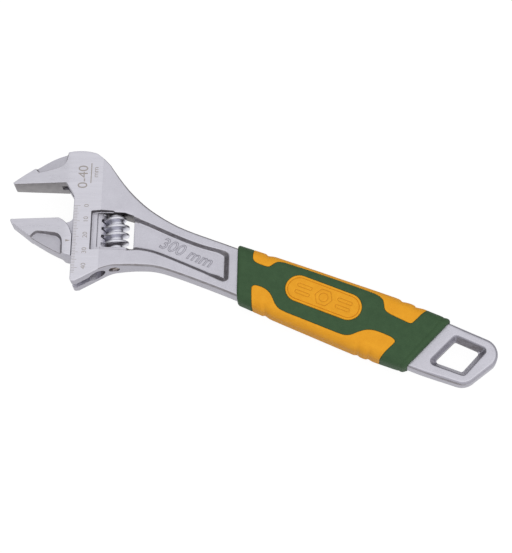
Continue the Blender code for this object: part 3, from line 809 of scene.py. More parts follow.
def body_mesh():
    domain = Domain()
    outer = resample(OUTLINES["body"], 0.9)
    window = resample(OUTLINES["window"], 0.7)
    eye = resample(OUTLINES["eye"], 0.5)
    for outline in (outer, window, eye):
        domain.line(outline)
    domain.line([head(GROUND_EDGE_J, r) for r in np.arange(-26.0, 66.0, 1.0)], closed=False)
    radius = edge_radius(outer)
    domain.ring(outer, [radius * q for q in QUARTER] + [radius + 0.5])
    domain.ring(window, [-CRISP_EDGE * q for q in QUARTER[1::2]])
    domain.ring(eye, [-EYE_EDGE * q for q in QUARTER[1::2]] + [-0.9])
    domain.kept_clear = [(outer, 0.45), (window, 0.26), (eye, 0.7)]
    lines = {name: resample(OUTLINES[name], recess.spacing) for name, recess in RECESSES.items()}
    for name, recess in RECESSES.items():
        domain.wall(lines[name], recess.wall or web_wall_width(lines[name]))
    for name, recess in RECESSES.items():
        domain.ring(lines[name], recess.offsets)
    domain.fill(outer, 2.0)

    def keep(middles):
        inside = within(middles, "body") > 0
        for name in ("window", "eye"):
            inside &= within(middles, name) < 0
        return inside

    flat, faces = domain.triangles(keep)
    return closed_slab("wrench_body_fine", flat, faces, body_half(flat))


def slot_outline():
    return heads([
        (-9.0, 1.5), (-9.0, -0.6), (-6.0, -2.6), (-2.0, -5.6), (3.0, -8.4), (9.0, BORE_TOP_R),
        (RAIL_J, BORE_TOP_R), (RAIL_J, 72.0), (-8.0, 72.0), (-5.0, 8.0)])


def make_body():
    mesh = body_mesh()
    bore = turned("bore", RAIL_J, [(0, BORE_TOP_R), (BORE_RADIUS, BORE_TOP_R), (BORE_RADIUS, 80),
                                   (0, 80)], 72)
    pin_bore = turned("pin_bore", WORM_J, [(0, 10.7), (2.25, 10.7), (2.25, 45.7), (3.35, 45.7),
                                           (3.35, 70), (0, 70)], 48)
    slot = prism(slot_outline(), -SLOT_HALF, SLOT_HALF)
    mesh = combined(mesh, [bore, slot, pin_bore], "DIFFERENCE")
    finished(mesh, "wrench_body", "body", body_finish)


def body_finish(flat, height, normal, steep):
    """Which steel finish each of the body's faces has; the darker steels on walls, edges and pocket
    floors are painted shade.
    """
    on_top = steep > 0.97
    upright = steep <= 0.15
    tilted = ~upright & (steep < 0.93)
    behind_ground = across(flat) > GROUND_EDGE_J
    level = np.abs(height - base_half(flat)) < LEVEL_WITHIN
    ground = on_top & level & (across(flat) < GROUND_EDGE_J)
    facing = normal[:, :2] @ np.array([SIN, -COS])
    gripping = (facing > 0.9) & (np.abs(down(flat)) < 0.3) & (across(flat) < -5.0)
    # Upright walls deep in the body take the near-black bore steel: painted shade.
    deep = upright & (within(flat, "body") > 1.2)
    pocket = within(flat, "pocket")
    in_web = within(flat, "web")
    web_wall = (in_web > 0.0) & (in_web < web_wall_width(flat)) & (steep < 0.9995)
    at_web = (in_web > -1.2) & (across(flat) > 40.0)
    pocket_wall = tilted & (pocket > -0.1) & (pocket < 1.3)
    # Sloping faces behind the ground line, pocket walls and web walls take the dark forged steel, partly
    # painted shade.
    forged_shaded = (tilted & behind_ground & ~at_web) | pocket_wall | web_wall
    # Outer side walls and the tail's sloping edges take the darker side steel: painted shade.
    tail_edge = tilted & (flat[:, 0] > TAIL_START_X) & (normal[:, 1] > -0.8)
    side = (upright & ~deep) | tail_edge
    # Pocket floors take the darker pocket steel: painted shade.
    return np.select([gripping, on_top & (pocket > 1.0), ground, side, deep, forged_shaded],
                     [GRIPPING, POCKET_SHADE, GROUND, SIDE_SHADE, BORE_SHADE, FORGED_SHADED], SATIN)


def finished(mesh, node, body, finish_of):
    """A steel piece, each face with its finish and a sharp line where the main finishes meet."""
    piece(node + "_fine", mesh, body, STEELS, [node])
    middle, normal = face_facts(mesh)
    index = finish_of(middle[:, :2], np.abs(middle[:, 2]), normal, np.abs(normal[:, 2]))
    mesh.polygons.foreach_set("material_index", index.astype(np.int32))
    smooth_faces(mesh)
    sharpen_between(mesh, np.where(index >= FORGED_SHADED, SATIN, index))


def sharpen_between(mesh, index):
    """Marks as sharp the edges between faces of different finishes."""
    seen = {}
    for polygon in mesh.polygons:
        for key in polygon.edge_keys:
            seen.setdefault(key, set()).add(int(index[polygon.index]))
    for edge in mesh.edges:
        if len(seen.get(edge.key, ())) > 1:
            edge.use_edge_sharp = True


# Movable jaw

def jaw_outline():
    back = smooth(heads([
        (-38.4, 24.9), (-32.0, 29.8), (-25.5, 34.8), (-19.2, 38.8), (-13.0, 42.3), (-6.0, 45.6),
        (-0.3, 47.2)]), 8)
    shoulder = smooth(heads([
        (-0.3, 34.0), (-2.2, 29.1), (-4.2, 26.2), (-6.3, 24.2), (-8.9, OPENING)]), 6)
    return back + shoulder + [head(-38.5, OPENING), head(-39.0, OPENING + 0.7)]


def jaw_pocket_outline():
    inner = smooth(heads([
        (-25.8, 34.1), (-24.2, 32.3), (-22.6, 31.2), (-20.8, 31.1), (-15.6, 31.7), (-10.6, 32.5),
        (-8.2, 33.7), (-6.6, 36.0), (-6.1, 38.6), (-5.9, 42.0)]), 5)
    return inner + [head(-5.7, 52.0), head(-18.0, 50.0), head(-30.0, 38.8)]


def jaw_edge_radius(points):
    return np.where(np.abs(down(points) - OPENING) < 0.6, CRISP_EDGE, 0.4)


def jaw_half(points):
    half = np.minimum(base_half(points), HEAD_HALF) - JAW_THINNER
    half = sunk(half, POCKET_FLOOR, within(points, "jaw_pocket"), 3.0, 0.35, 0.5)
    return half - edge_drop(within(points, "jaw"), jaw_edge_radius(points))


OUTLINES["jaw"] = jaw_outline()
OUTLINES["jaw_pocket"] = jaw_pocket_outline()


def neck_outline():
    top = smooth([(-5.2, 23.8), (-3.6, 23.4), (-2.0, 22.4), (-0.5, 20.3), (2.0, 17.3), (6.0, 15.3)], 5)
    start, end = OPENING + RAIL_TOP, OPENING + RAIL_BOTTOM
    return heads([
        (-9.0, 27.0), *top, (11.0, start), (RAIL_J, start), (RAIL_J, end), (9.0, end), (-0.4, 47.0),
        (-6.0, 44.8)])


def rack_gap(r):
    """One gap of the rack, cut straight across the rail and leaning by the worm's lead."""
    root, rim = RAIL_J + RAIL_RADIUS - 3.05, RAIL_J + RAIL_RADIUS + 2.0
    shape = [(root, r - 0.8), (root, r + 0.8), (rim, r + 2.7), (rim, r - 2.7)]
    lean = WORM_PITCH / (2 * math.pi * 7.2)
    points = []
    for z in (-6.0, 6.0):
        points += [(*head(j, k - lean * z), z) for j, k in shape]
    faces = [(0, 1, 2, 3), (7, 6, 5, 4), (0, 4, 5, 1), (1, 5, 6, 2), (2, 6, 7, 3), (3, 7, 4, 0)]
    return weld(mesh_of("rack_gap", points, faces))


def jaw_plate():
    domain = Domain()
    outer = resample(OUTLINES["jaw"], 0.7)
    domain.line(outer)
    radius = jaw_edge_radius(outer)
    domain.ring(outer, [radius * q for q in QUARTER] + [radius + 0.5])
    pocket = resample(OUTLINES["jaw_pocket"], 0.6)
    domain.ring(pocket, [-0.3, -0.12, 0.0, 0.15, 0.35, 0.6, 0.85, 1.1, 1.4])
    domain.fill(outer, 1.6)
    flat, faces = domain.triangles(lambda middles: within(middles, "jaw") > 0)
    return closed_slab("movable_jaw_fine", flat, faces, jaw_half(flat))


def make_jaw():
    start, end = OPENING + RAIL_TOP, OPENING + RAIL_BOTTOM
    rail = turned("rail", RAIL_J, [(0, start), (RAIL_RADIUS - 0.4, start), (RAIL_RADIUS, start + 0.4),
                                   (RAIL_RADIUS, end - 0.5), (RAIL_RADIUS - 0.5, end), (0, end)], 72)
    first = WORM_CREST_R + WORM_PITCH / 2 - 2 * WORM_PITCH
    rail = combined(rail, [rack_gap(first + WORM_PITCH * i) for i in range(8)], "DIFFERENCE")
    neck = prism(neck_outline(), -NECK_HALF, NECK_HALF)
    mesh = combined(jaw_plate(), [neck, rail], "UNION")
    finished(mesh, "movable_jaw", "jaw", jaw_finish)


def jaw_finish(flat, height, normal, steep):
    """Which steel finish each of the jaw's faces has; the darker pocket and side steels are painted
    shade, the forged steel partly.
    """
    on_top = steep > 0.97
    level = np.abs(height - base_half(flat) + JAW_THINNER) < LEVEL_WITHIN
    facing = normal[:, :2] @ np.array([SIN, -COS])
    gripping = (facing < -0.9) & (np.abs(down(flat) - OPENING) < 0.3)
    pocket = within(flat, "jaw_pocket")
    # Pocket walls take the dark forged steel, partly painted shade; the jaw's outer side walls take the
    # darker side steel, painted shade.
    forged_shaded = (steep > 0.15) & (steep < 0.93) & (pocket > -0.5)
    side = (steep <= 0.15) & (np.abs(within(flat, "jaw")) < 0.3)
    return np.select([gripping, on_top & (pocket > 1.0), on_top & level, forged_shaded, side],
                     [GRIPPING, POCKET_SHADE, GROUND, FORGED_SHADED, SIDE_SHADE], SATIN)


# Worm

def thread_radius(angle, r):
    """The worm's radius at an angle from the far side, by way of the front, and a place r."""
    crest = WORM_CREST_R + WORM_PITCH * angle / (2 * np.pi)
    off = (r - crest + WORM_PITCH / 2) % WORM_PITCH - WORM_PITCH / 2
    share = np.clip((np.abs(off) - 0.35) / 1.9, 0, 1)
    middle = r - off
    start = np.clip((middle - WORM_TOP_R - 1.4) / 1.6, 0, 1)
    end = np.clip((WORM_BOTTOM_R - 1.4 - middle) / 1.2, 0, 1)
    height = (WORM_CREST - WORM_ROOT) * np.minimum(start, end)
    return WORM_ROOT + height * 0.5 * (1 + np.cos(np.pi * share))


def make_worm():
    columns, rows = 128, 172
    angle = np.linspace(0, 2 * np.pi, columns, endpoint=False)
    top, bottom = WORM_TOP_R, WORM_BOTTOM_R
    stations = [(np.full(columns, WORM_BORE), top), (np.full(columns, WORM_ROOT - 0.5), top)]
    for r in np.linspace(top + 0.3, bottom - 0.3, rows):
        stations.append((thread_radius(angle, r), r))
    deep = bottom - SPRING_POCKET_DEPTH
    stations += [(np.full(columns, WORM_ROOT - 0.5), bottom), (np.full(columns, SPRING_POCKET), bottom),
                 (np.full(columns, SPRING_POCKET), deep), (np.full(columns, WORM_BORE), deep)]
    points = []
    faces = []
    for s, (radius, r) in enumerate(stations):
        j = WORM_J + radius * np.cos(angle)
        points += [(*head(a, r), z) for a, z in zip(j, radius * np.sin(angle))]
        a, b = s * columns, (s + 1) % len(stations) * columns
        for k in range(columns):
            n = (k + 1) % columns
            faces.append((a + k, a + n, b + n, b + k))
    mesh = weld(mesh_of("worm_fine", points, faces))
    smooth_faces(mesh, 50)
    piece("worm_fine", mesh, "worm", [LOOKS["dark"]], ["worm"])


PIN_RADIUS = 2.0
PIN_HEAD_RADIUS = 3.1
PIN_HEAD_R = (45.9, 52.3)


def make_pin():
    """The screw that the worm turns on, its slotted head showing in the foot."""
    low, high = PIN_HEAD_R
    mesh = turned("worm_pin_fine", WORM_J, [
        (0, 11.0), (PIN_RADIUS - 0.3, 11.0), (PIN_RADIUS, 11.3), (PIN_RADIUS, low),
        (PIN_HEAD_RADIUS, low), (PIN_HEAD_RADIUS, high - 0.4), (PIN_HEAD_RADIUS - 0.4, high),
        (0, high)], 72)
    corners = []
    for along_slot, wide in ((-4.0, -0.5), (4.0, -0.5), (4.0, 0.5), (-4.0, 0.5)):
        for r in (high - 1.3, high + 1.0):
            corners.append((*head(WORM_J + 0.8 * along_slot - 0.6 * wide, r),
                            0.6 * along_slot + 0.8 * wide))
    faces = [(0, 2, 4, 6), (1, 3, 5, 7), (0, 1, 3, 2), (2, 3, 5, 4), (4, 5, 7, 6), (6, 7, 1, 0)]
    slot = weld(mesh_of("pin_slot", corners, faces))
    mesh = combined(mesh, [slot], "DIFFERENCE")
    smooth_faces(mesh, 40)
    piece("worm_pin_fine", mesh, "body", [LOOKS["screw"]], ["worm_pin"])


# Grip

GRIP_MIDDLE = (GRIP_FRONT_X + GRIP_REAR_X) / 2
GRIP_HALF = (GRIP_REAR_X - GRIP_FRONT_X) / 2
GRIP_WIDTH = [(100, 16.3), (118, 16.9), (135, 17.7), (160, 18.6), (182, 19.3), (203, 20.0),
              (216, 19.6), (245, 19.0)]
GRIP_THICKNESS = [(100, 8.4), (120, 8.9), (150, 9.4), (190, 9.6), (215, 9.5), (245, 8.8)]


def grip_width(x):
    return np.interp(x, *zip(*GRIP_WIDTH))


def grip_thickness(x):
    return np.interp(x, *zip(*GRIP_THICKNESS))


def reach_of(x):
    """The way round the section from the middle of the front to the middle of a side."""
    return grip_width(x) - GRIP_CORNER + GRIP_CORNER * np.pi / 2 + grip_thickness(x) - GRIP_CORNER


def unrolled(points):
    """Places seen from the front, (X, Y), as (station, way round from the front's middle)."""
    found = []
    for x, y in points:
        station = (x + SLANT * GRIP_MIDDLE * y / GRIP_HALF) / (1 + SLANT * y / GRIP_HALF)
        flat = grip_width(station) - GRIP_CORNER
        over = min(abs(y) - flat, GRIP_CORNER * 0.999)
        way = abs(y) if over < 0 else flat + GRIP_CORNER * math.asin(over / GRIP_CORNER)
        found.append((station, math.copysign(way, y)))
    return found


def leaning(x, y):
    """The X of a place on the section at station x, which leans with the grip's slanted ends."""
    return x + SLANT * (x - GRIP_MIDDLE) / GRIP_HALF * y


def on_grip(flat, depth):
    """The points of the grip's front half at stations and ways round, sunk by a depth."""
    x, way = flat[:, 0], flat[:, 1]
    straight = grip_width(x) - GRIP_CORNER
    side = np.sign(way)
    over = np.clip(np.abs(way) - straight, 0, None)
    turn = np.clip(over / GRIP_CORNER, 0, np.pi / 2)
    rest = np.clip(over - GRIP_CORNER * np.pi / 2, 0, None)
    radius = GRIP_CORNER - depth
    y = side * (np.minimum(np.abs(way), straight) + radius * np.sin(turn))
    z = grip_thickness(x) - GRIP_CORNER + radius * np.cos(turn) - rest
    edge = np.abs(way) > reach_of(x) - 1e-4
    z = np.where(edge, 0.0, np.maximum(z, 0.0))
    return np.column_stack([leaning(x, y), y, z])


def upper_inlay():
    front = (smooth([(118.0, 15.6), (118.6, 12.6), (119.6, 10.2), (121.6, 8.7), (125.5, 8.3),
                     (129.6, 8.5), (131.4, 9.8), (132.8, 12.1), (134.4, 13.9), (138.0, 15.0)], 5)
             + [(152.0, 15.7), (172.0, 16.3), (190.0, 16.5)]
             + smooth([(195.5, 16.3), (198.6, 15.5), (200.9, 14.0), (202.3, 11.8), (204.0, 9.0),
                       (207.0, 7.7), (213.5, 7.0)], 5)
             + smooth([(219.2, 6.5), (221.2, 6.8), (222.5, 8.6), (224.6, 13.6), (226.4, 17.6)], 5))
    found = unrolled(front)
    return found + [(found[-1][0], 40.0), (found[0][0], 40.0)]


def lower_inlay():
    front = (smooth([(131.0, -20.0), (128.6, -14.0), (126.2, -8.2), (125.9, -6.2), (127.2, -4.9),
                     (130.2, -4.5), (133.6, -4.8), (137.0, -6.1), (140.0, -8.6), (142.8, -11.4),
                     (146.2, -13.3), (151.0, -13.9)], 5)
             + [(168.0, -14.2)]
             + smooth([(183.0, -14.5), (187.8, -14.2), (191.2, -12.6), (194.8, -9.2), (198.5, -6.5),
                       (203.0, -5.1), (208.5, -4.9)], 5)
             + smooth([(213.4, -5.2), (215.9, -6.2), (216.4, -8.0), (213.6, -14.6), (211.6, -19.8)], 5))
    found = unrolled(front)
    return found + [(found[-1][0], -40.0), (found[0][0], -40.0)]


def badge():
    x, y = BADGE_CENTRE
    radius = BADGE_HEIGHT / 2
    reach = BADGE_LENGTH / 2 - radius
    return unrolled(arc((x + reach, y), radius, -90, 90, 26) + arc((x - reach, y), radius, 90, 270, 26))


def side_weight(flat):
    """From 0 on the grip's front to 1 on its sides."""
    return step_between(13.0, 4.0, reach_of(flat[:, 0]) - np.abs(flat[:, 1]))


UPPER_NOTCHES = (131.0, 206.8, 214.8)
LOWER_NOTCHES = (133.2, 200.3, 208.3)


def notches(flat, places, depth=0.85):
    """Shallow finger grooves over the side: steep on the jaws' side, fading on the other."""
    sunk_by = np.zeros(len(flat))
    up_the_face = np.clip(reach_of(flat[:, 0]) - np.abs(flat[:, 1]) - 7.0, 0, None)
    for place in places:
        off = flat[:, 0] - place + 0.25 * up_the_face
        shape = np.where(off < 0, np.exp(-(off / 0.6) ** 2), np.exp(-(off / 2.6) ** 2))
        sunk_by = np.maximum(sunk_by, depth * shape)
    return sunk_by * side_weight(flat)


OUTLINES["upper"] = upper_inlay()
OUTLINES["lower"] = lower_inlay()
OUTLINES["badge"] = badge()


def shell_depth(flat):
    """The green shell's depth under its plain form: pockets, end rounding and the rear lip."""
    x = flat[:, 0]
    depth = np.zeros(len(flat))
    for name in ("upper", "lower", "badge"):
        into = within(flat, name)
        depth = np.maximum(depth, np.where(into > 0.02, INLAY_DEPTH + 0.15, edge_drop(-into, 0.35)))
    lip = 0.3 * np.exp(-((GRIP_REAR_X - x - 4.2) / 0.8) ** 2)
    ends = edge_drop(x - GRIP_FRONT_X, FRONT_ROUND) + edge_drop(GRIP_REAR_X - x, REAR_ROUND)
    return depth + ends + lip


def shell_mesh():
    """The shell's front half, meshed flat and rolled round the section."""
    steps = 60
    shares = np.linspace(-1, 1, steps + 1)
    crossings = [OUTLINES[name][i][0] for name in ("upper", "lower") for i in (-1, -2)]
    beside = (-0.7, -0.35, -0.2, -0.08, 0.0, 0.08, 0.5)
    stations = np.unique(np.concatenate([np.linspace(GRIP_FRONT_X, GRIP_REAR_X, 122),
                                         [x + d for x in crossings for d in beside]]))
    domain = Domain()
    low = [(x, -reach_of(x)) for x in stations]
    high = [(x, reach_of(x)) for x in stations]
    front = [(GRIP_FRONT_X, reach_of(GRIP_FRONT_X) * s) for s in shares[1:-1]]
    rear = [(GRIP_REAR_X, reach_of(GRIP_REAR_X) * s) for s in shares[1:-1]]
    border = np.array(low + rear + high[::-1] + front[::-1])
    domain.line(border)
    for q in QUARTER + [1.25, 1.45, 1.6, 1.75, 1.9, 2.1]:
        for s in shares[1:-1]:
            near_front, near_rear = GRIP_FRONT_X + FRONT_ROUND * q, GRIP_REAR_X - REAR_ROUND * q
            domain.add((near_front, reach_of(near_front) * s))
            domain.add((near_rear, reach_of(near_rear) * s))
    for name in ("upper", "lower", "badge"):
        outline = resample(OUTLINES[name], 0.8)
        outline = outline[np.abs(outline[:, 1]) < reach_of(outline[:, 0]) - 0.05]
        inward = normals_of(outline)
        for offset in (-0.7, -0.35, -0.2, -0.08, 0.0, 0.04, 0.5):
            for p in outline + inward * offset:
                if abs(p[1]) < reach_of(p[0]) - 0.1 and not domain.near(p, 0.03):
                    domain.add(p)
    domain.fill(border, 1.7)
    flat, faces = domain.triangles(lambda middles: distance(middles, border) > 0)
    points = on_grip(flat, shell_depth(flat))
    return flat, points, faces


def mirrored(points, faces):
    """The front half and its mirror image behind the middle plane, as one list of each."""
    count = len(points)
    back = points * np.array([1, 1, -1])
    return (np.vstack([points, back]),
            [tuple(f) for f in faces] + [tuple(int(i) + count for i in f[::-1]) for f in faces])


def rear_ring(flat):
    """The rear end's inner edge, as the outer point that each of its points meets, and its place."""
    rim = [i for i in range(len(flat)) if abs(flat[i, 0] - GRIP_REAR_X) < 1e-6]
    rim.sort(key=lambda i: flat[i, 1])
    core = np.interp(GRIP_REAR_X, *zip(*CORE_WIDTH)) + 0.35
    half = TAIL_HALF + 0.4
    ring = []
    for side in (1, -1):
        for i in rim[::side]:
            share = flat[i, 1] / reach_of(GRIP_REAR_X)
            y = np.clip(share * (core + half), -core, core)
            z = min(half, (core + half) - abs(share) * (core + half))
            outer = i if side == 1 else i + len(flat)
            ring.append((outer, (leaning(GRIP_REAR_X, y), y, side * max(z, 0.0))))
    return ring


def make_shell():
    """The sleeve's outside and the flat ring at its rear end. Its front end and its inside are open."""
    flat, points, faces = shell_mesh()
    points, faces = mirrored(points, faces)
    ring = rear_ring(flat)
    loop = [(outer, len(points) + i) for i, (outer, _) in enumerate(ring)]
    faces += [(a, c, d, b) for (a, b), (c, d) in zip(loop, loop[1:] + loop[:1])]
    points = [tuple(p) for p in points] + [place for _, place in ring]
    mesh = weld(mesh_of("grip_shell_fine", points, faces))
    smooth_faces(mesh, 40)
    piece("grip_shell_fine", mesh, "body", [LOOKS["green"]], ["grip_shell"])


def side_closed(line):
    """The outline of an inlay that wraps round the side, closed along the side's middle."""
    side = np.sign(line[:, 1].sum())
    line = line[side * line[:, 1] < reach_of(line[:, 0]) - 0.2]
    turn = int(np.argmax(np.linalg.norm(np.roll(line, -1, axis=0) - line, axis=1)))
    line = np.roll(line, -turn - 1, axis=0)
    xs = np.linspace(line[-1, 0], line[0, 0], 90)
    return np.vstack([line, np.column_stack([xs, side * reach_of(xs)])])


def patch(line, wraps):
    """An inlay meshed flat, finer beside its edge and, on the badge, along its marks."""
    domain = Domain()
    domain.line(line)
    free = np.abs(line[:, 1]) < reach_of(line[:, 0]) - 0.01
    inward = normals_of(line)
    for offset in (0.03, 0.09, 0.18, 0.3, 0.5, 0.9, 1.2, 1.5, 1.8, 2.1):
        for p in (line + inward * offset)[free]:
            if abs(p[1]) < reach_of(p[0]) - 0.05 and not domain.near(p, 0.02):
                domain.add(p)
    if not wraps:
        badge_rings(domain)
    domain.fill(line, 1.3 if wraps else 0.9)
    return domain.triangles(lambda middles: distance(middles, line) > 0)


def inlay_piece(node, outline_name, top_depth, wraps, back=False):
    """A closed rubber patch on the grip: its top follows top_depth, its bed lies in the pocket."""
    line = resample(shrunk(OUTLINES[outline_name], SEAM), 0.6)
    flat, faces = patch(side_closed(line) if wraps else line, wraps)
    count = len(flat)
    at_side = np.abs(np.abs(flat[:, 1]) - reach_of(flat[:, 0])) < 1e-3
    every = [tuple(f) for f in faces] + [tuple(int(i) + count for i in f[::-1]) for f in faces]
    for i, k in boundary_edges(faces):
        if not (wraps and at_side[i] and at_side[k]):
            every.append((int(k), int(i), int(i) + count, int(k) + count))
    points = np.vstack([on_grip(flat, top_depth(flat)), on_grip(flat, np.full(count, INLAY_DEPTH))])
    if wraps:
        points, every = mirrored(points, every)
    elif back:
        points = points * np.array([1, 1, -1])
    mesh = weld(mesh_of(node + "_fine", points, every))
    smooth_faces(mesh, 45)
    piece(node + "_fine", mesh, "body", [LOOKS["yellow"], LOOKS["line"]], [node])
    return mesh


def inlay_depth(outline_name, places):
    def depth(flat):
        edge = distance(flat, OUTLINES[outline_name]) - SEAM
        return edge_drop(edge, 0.3) + notches(flat, places)
    return depth


def shrunk(outline, by):
    """The outline moved inwards."""
    p = resample(outline, 0.6)
    return p + normals_of(p) * by


def badge_rings(domain):
    """Points that follow the badge's fine line and its raised marks."""
    rim = resample(OUTLINES["badge"], 0.6)
    domain.ring(rim, [1.07, 1.24, 1.4, 1.57, 1.74, 1.9, 2.07], 0.02)
    for mark in badge_marks():
        domain.ring(resample(mark, 0.45), [-0.5, -0.33, -0.18, 0.0, 0.18, 0.33, 0.5], 0.02)


def badge_lines(flat):
    """From 0 to 1, how deep in one of the badge's fine lines the points are."""
    into = within(flat, "badge") - SEAM
    lines = np.exp(-((into - 1.45) / 0.24) ** 2)
    for mark in badge_marks():
        lines = np.maximum(lines, np.exp(-(distance(flat, mark) / 0.24) ** 2))
    return lines


def badge_depth(flat):
    """The badge stands proud, with fine lines round its rim and round its marks."""
    into = within(flat, "badge") - SEAM
    return BADGE_LINE * badge_lines(flat) - BADGE_PROUD + edge_drop(into, 0.45)


def badge_marks():
    """A nut, with its hole, between two pairs of bars."""
    x, y = BADGE_CENTRE
    marks = [[(x + 5.4 * math.cos(math.radians(a)), y + 5.4 * math.sin(math.radians(a)))
              for a in range(0, 360, 60)]]
    for side in (-1, 1):
        for row in (-1, 1):
            left, right = sorted((x + side * 8.2, x + side * 17.2))
            low, high = y + row * 2.2 - 1.0, y + row * 2.2 + 1.0
            marks.append(rounded([(left, low), (right, low), (right, high), (left, high)], 0.9, 4))
    marks.append(arc((x, y), 2.7, 0, 345, 23))
    return [unrolled(mark) for mark in marks]


def darken_lines(mesh):
    """Gives the badge's fine lines the darker yellow rubber: painted shade in the grooves."""
    middle, _ = face_facts(mesh)
    seen_from_front = np.array(unrolled(middle[:, :2]))
    lined = (badge_lines(seen_from_front) > 0.55) & (np.abs(middle[:, 2]) > 9.0)
    mesh.polygons.foreach_set("material_index", lined.astype(np.int32))


def make_grip():
    make_shell()
    for name, places in (("upper", UPPER_NOTCHES), ("lower", LOWER_NOTCHES)):
        inlay_piece("grip_inlay_" + name, name, inlay_depth(name, places), True)
    for node, back in (("badge_front", False), ("badge_back", True)):
        darken_lines(inlay_piece(node, "badge", badge_depth, False, back))


# Marks on the steel

MARK_LIFT = 0.012
MARK_DEEP = 0.03
SCALE_ZERO_R = 15.35


def placed_text(name, words, size, place, z, turn, look, shear=0.0, outline=0.0):
    """Text lying in the XY plane, with its middle at a place; with an outline, only its edges."""
    curve = bpy.data.curves.new(name, "FONT")
    curve.body = words
    curve.size = size * MM
    curve.align_x = "CENTER"
    curve.align_y = "CENTER"
    curve.shear = shear
    if outline:
        curve.fill_mode = "NONE"
        curve.bevel_depth = outline * MM
        curve.bevel_resolution = 2
    else:
        curve.extrude = MARK_DEEP / 2 * MM
    text = linked(name + "_curve", curve)
    evaluated = text.evaluated_get(bpy.context.evaluated_depsgraph_get())
    mesh = bpy.data.meshes.new_from_object(evaluated)
    bpy.data.objects.remove(text, do_unlink=True)
    middle = (Vector((*place, z)) + ORIGIN) * MM
    mesh.transform(Matrix.Translation(middle) @ Matrix.Rotation(turn, 4, "Z"))
    mesh.materials.clear()
    piece(name, weld(mesh, 1e-7), "body", [look])


def bar(j0, j1, r0, r1):
    """The corners of a small mark."""
    return [head(j0, r0), head(j1, r0), head(j1, r1), head(j0, r1)]


def etched_bars(name, outlines, top, body="body"):
    """Several small flat marks as one piece."""
    shape = bmesh.new()
    for outline in outlines:
        shape.from_mesh(prism(outline, top - MARK_DEEP, top))
    mesh = bpy.data.meshes.new(name)
    shape.to_mesh(mesh)
    shape.free()
    piece(name, mesh, body, [LOOKS["etched"]])


def make_marks():
    """The scale and figures on the head, the jaw's pointer and the raised size on the web."""
    top = HEAD_HALF + MARK_LIFT
    ticks = []
    for mm in range(0, 44):
        length = 3.7 if mm % 10 == 0 else 2.9 if mm % 5 == 0 else 2.0
        r = SCALE_ZERO_R + mm
        ticks.append(bar(0.5, 0.5 + length, r - 0.11, r + 0.11))
    etched_bars("scale_ticks", ticks, top)
    figures = []
    for value in (0, 10, 20, 30, 40):
        shift = 1.0 if value else 0.0
        figures.append((f"scale_figure_{value}", str(value), 4.0, 7.9, SCALE_ZERO_R + value - shift))
    figures += [("head_mark_large", "0-40", 8.4, 4.9, -3.6), ("head_mark_small", "mm", 4.6, 12.4, -6.6)]
    for name, words, size, j, r in figures:
        placed_text(name, words, size, head(j, r), top - MARK_DEEP / 2, HEAD_ANGLE + math.pi / 2,
                    LOOKS["etched"])
    etched_bars("head_mark_bar", [bar(9.3, 9.9, -12.6, 0.6)], top)
    pointer = heads([(-3.9, 37.1), (-3.9, 38.5), (-1.0, 37.8)])
    etched_bars("jaw_pointer", [pointer], HEAD_HALF - JAW_THINNER + MARK_LIFT, "jaw")
    # The raised size is drawn as outlines in the darker side steel: painted shade along its letters'
    # edges.
    placed_text("size_text_front", "300 mm", 10.3, (79.5, 0.6), WEB_FLOOR + 0.02, -0.03,
                LOOKS["side"], 0.25, 0.21)


# Scene

def make_stage():
    bpy.ops.mesh.primitive_plane_add(size=6.0, location=(0, 0, cad_box[0][2] - 0.0002))
    floor = bpy.context.object
    floor.name = "floor"
    floor.visible_diffuse = False
    m = Nodes("floor", (0.12, 0.12, 0.12), 0.9, 0.0)
    m.shader.inputs["Specular IOR Level"].default_value = 0.0
    m.shader.inputs["Emission Color"].default_value = (1, 1, 1, 1)
    m.shader.inputs["Emission Strength"].default_value = 0.93
    floor.data.materials.append(m.material)


# The sky's brightness from below up, along its axis
SKY = [(0.0, 0.04), (0.44, 0.08), (0.52, 0.22), (0.76, 0.64), (0.90, 1.02), (1.0, 1.35)]
SKY_AXIS = (0.38, -0.25, 0.90)
KEY_PLACE = Vector((-1.1, 1.1, 0.9))


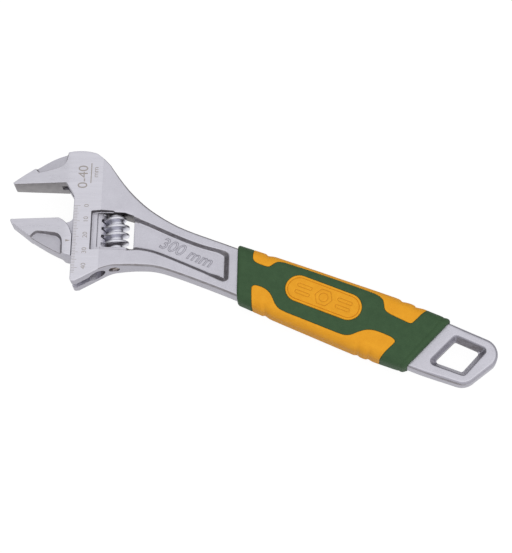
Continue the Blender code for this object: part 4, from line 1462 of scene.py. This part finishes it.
def make_light():
    world = bpy.data.worlds.new("studio")
    bpy.context.scene.world = world
    world.use_nodes = True
    tree = world.node_tree
    place = new_node(tree, "ShaderNodeTexCoord")
    along = new_node(tree, "ShaderNodeVectorMath", {1: Vector(SKY_AXIS).normalized()},
                     {0: place.outputs["Generated"]}, operation="DOT_PRODUCT")
    height = new_node(tree, "ShaderNodeMapRange", {"From Min": -1.0}, {"Value": along.outputs["Value"]})
    ramp = new_node(tree, "ShaderNodeValToRGB", (), {0: height.outputs[0]})
    ramp.color_ramp.interpolation = "B_SPLINE"
    while len(ramp.color_ramp.elements) < len(SKY):
        ramp.color_ramp.elements.new(0.5)
    for element, (position, level) in zip(ramp.color_ramp.elements, SKY):
        element.position = position
        element.color = (level * 0.985, level * 0.985, level, 1)
    background = tree.nodes["Background"]
    background.inputs["Strength"].default_value = 1.17
    tree.links.new(ramp.outputs[0], background.inputs["Color"])
    make_key_light()


def make_key_light():
    data = bpy.data.lights.new("key", "AREA")
    data.shape = "DISK"
    data.size = 0.8
    data.energy = 3.0
    obj = linked("key", data)
    obj.location = KEY_PLACE
    obj.rotation_euler = (-KEY_PLACE).to_track_quat("-Z", "Y").to_euler()


def make_camera():
    data = bpy.data.cameras.new("camera")
    data.lens = 110
    data.sensor_width = 36
    data.clip_start = 0.05
    data.clip_end = 20
    camera = linked("camera", data)
    place = Vector((298.35, -302.55, 947.63)) + ORIGIN
    right = Vector((0.9218, 0.3851, -0.0453))
    down_way = Vector((0.3472, -0.8720, -0.3451))
    turn = Matrix((right, -down_way, right.cross(-down_way))).transposed()
    camera.matrix_world = Matrix.Translation(place * MM) @ turn.to_4x4()
    bpy.context.scene.camera = camera


def dress_cad_nodes():
    """The spring, hidden in the worm, keeps its CAD shape and takes the worm's steel, whose lighter
    colour is painted light.
    """
    mesh = frame["nodes"]["worm_spring"].data
    mesh.materials.clear()
    mesh.materials.append(LOOKS["dark"])


make_body()
make_jaw()
make_worm()
make_pin()
make_grip()
make_marks()
dress_cad_nodes()
make_stage()
make_light()
make_camera()
bpy.context.scene.view_settings.view_transform = "Standard"
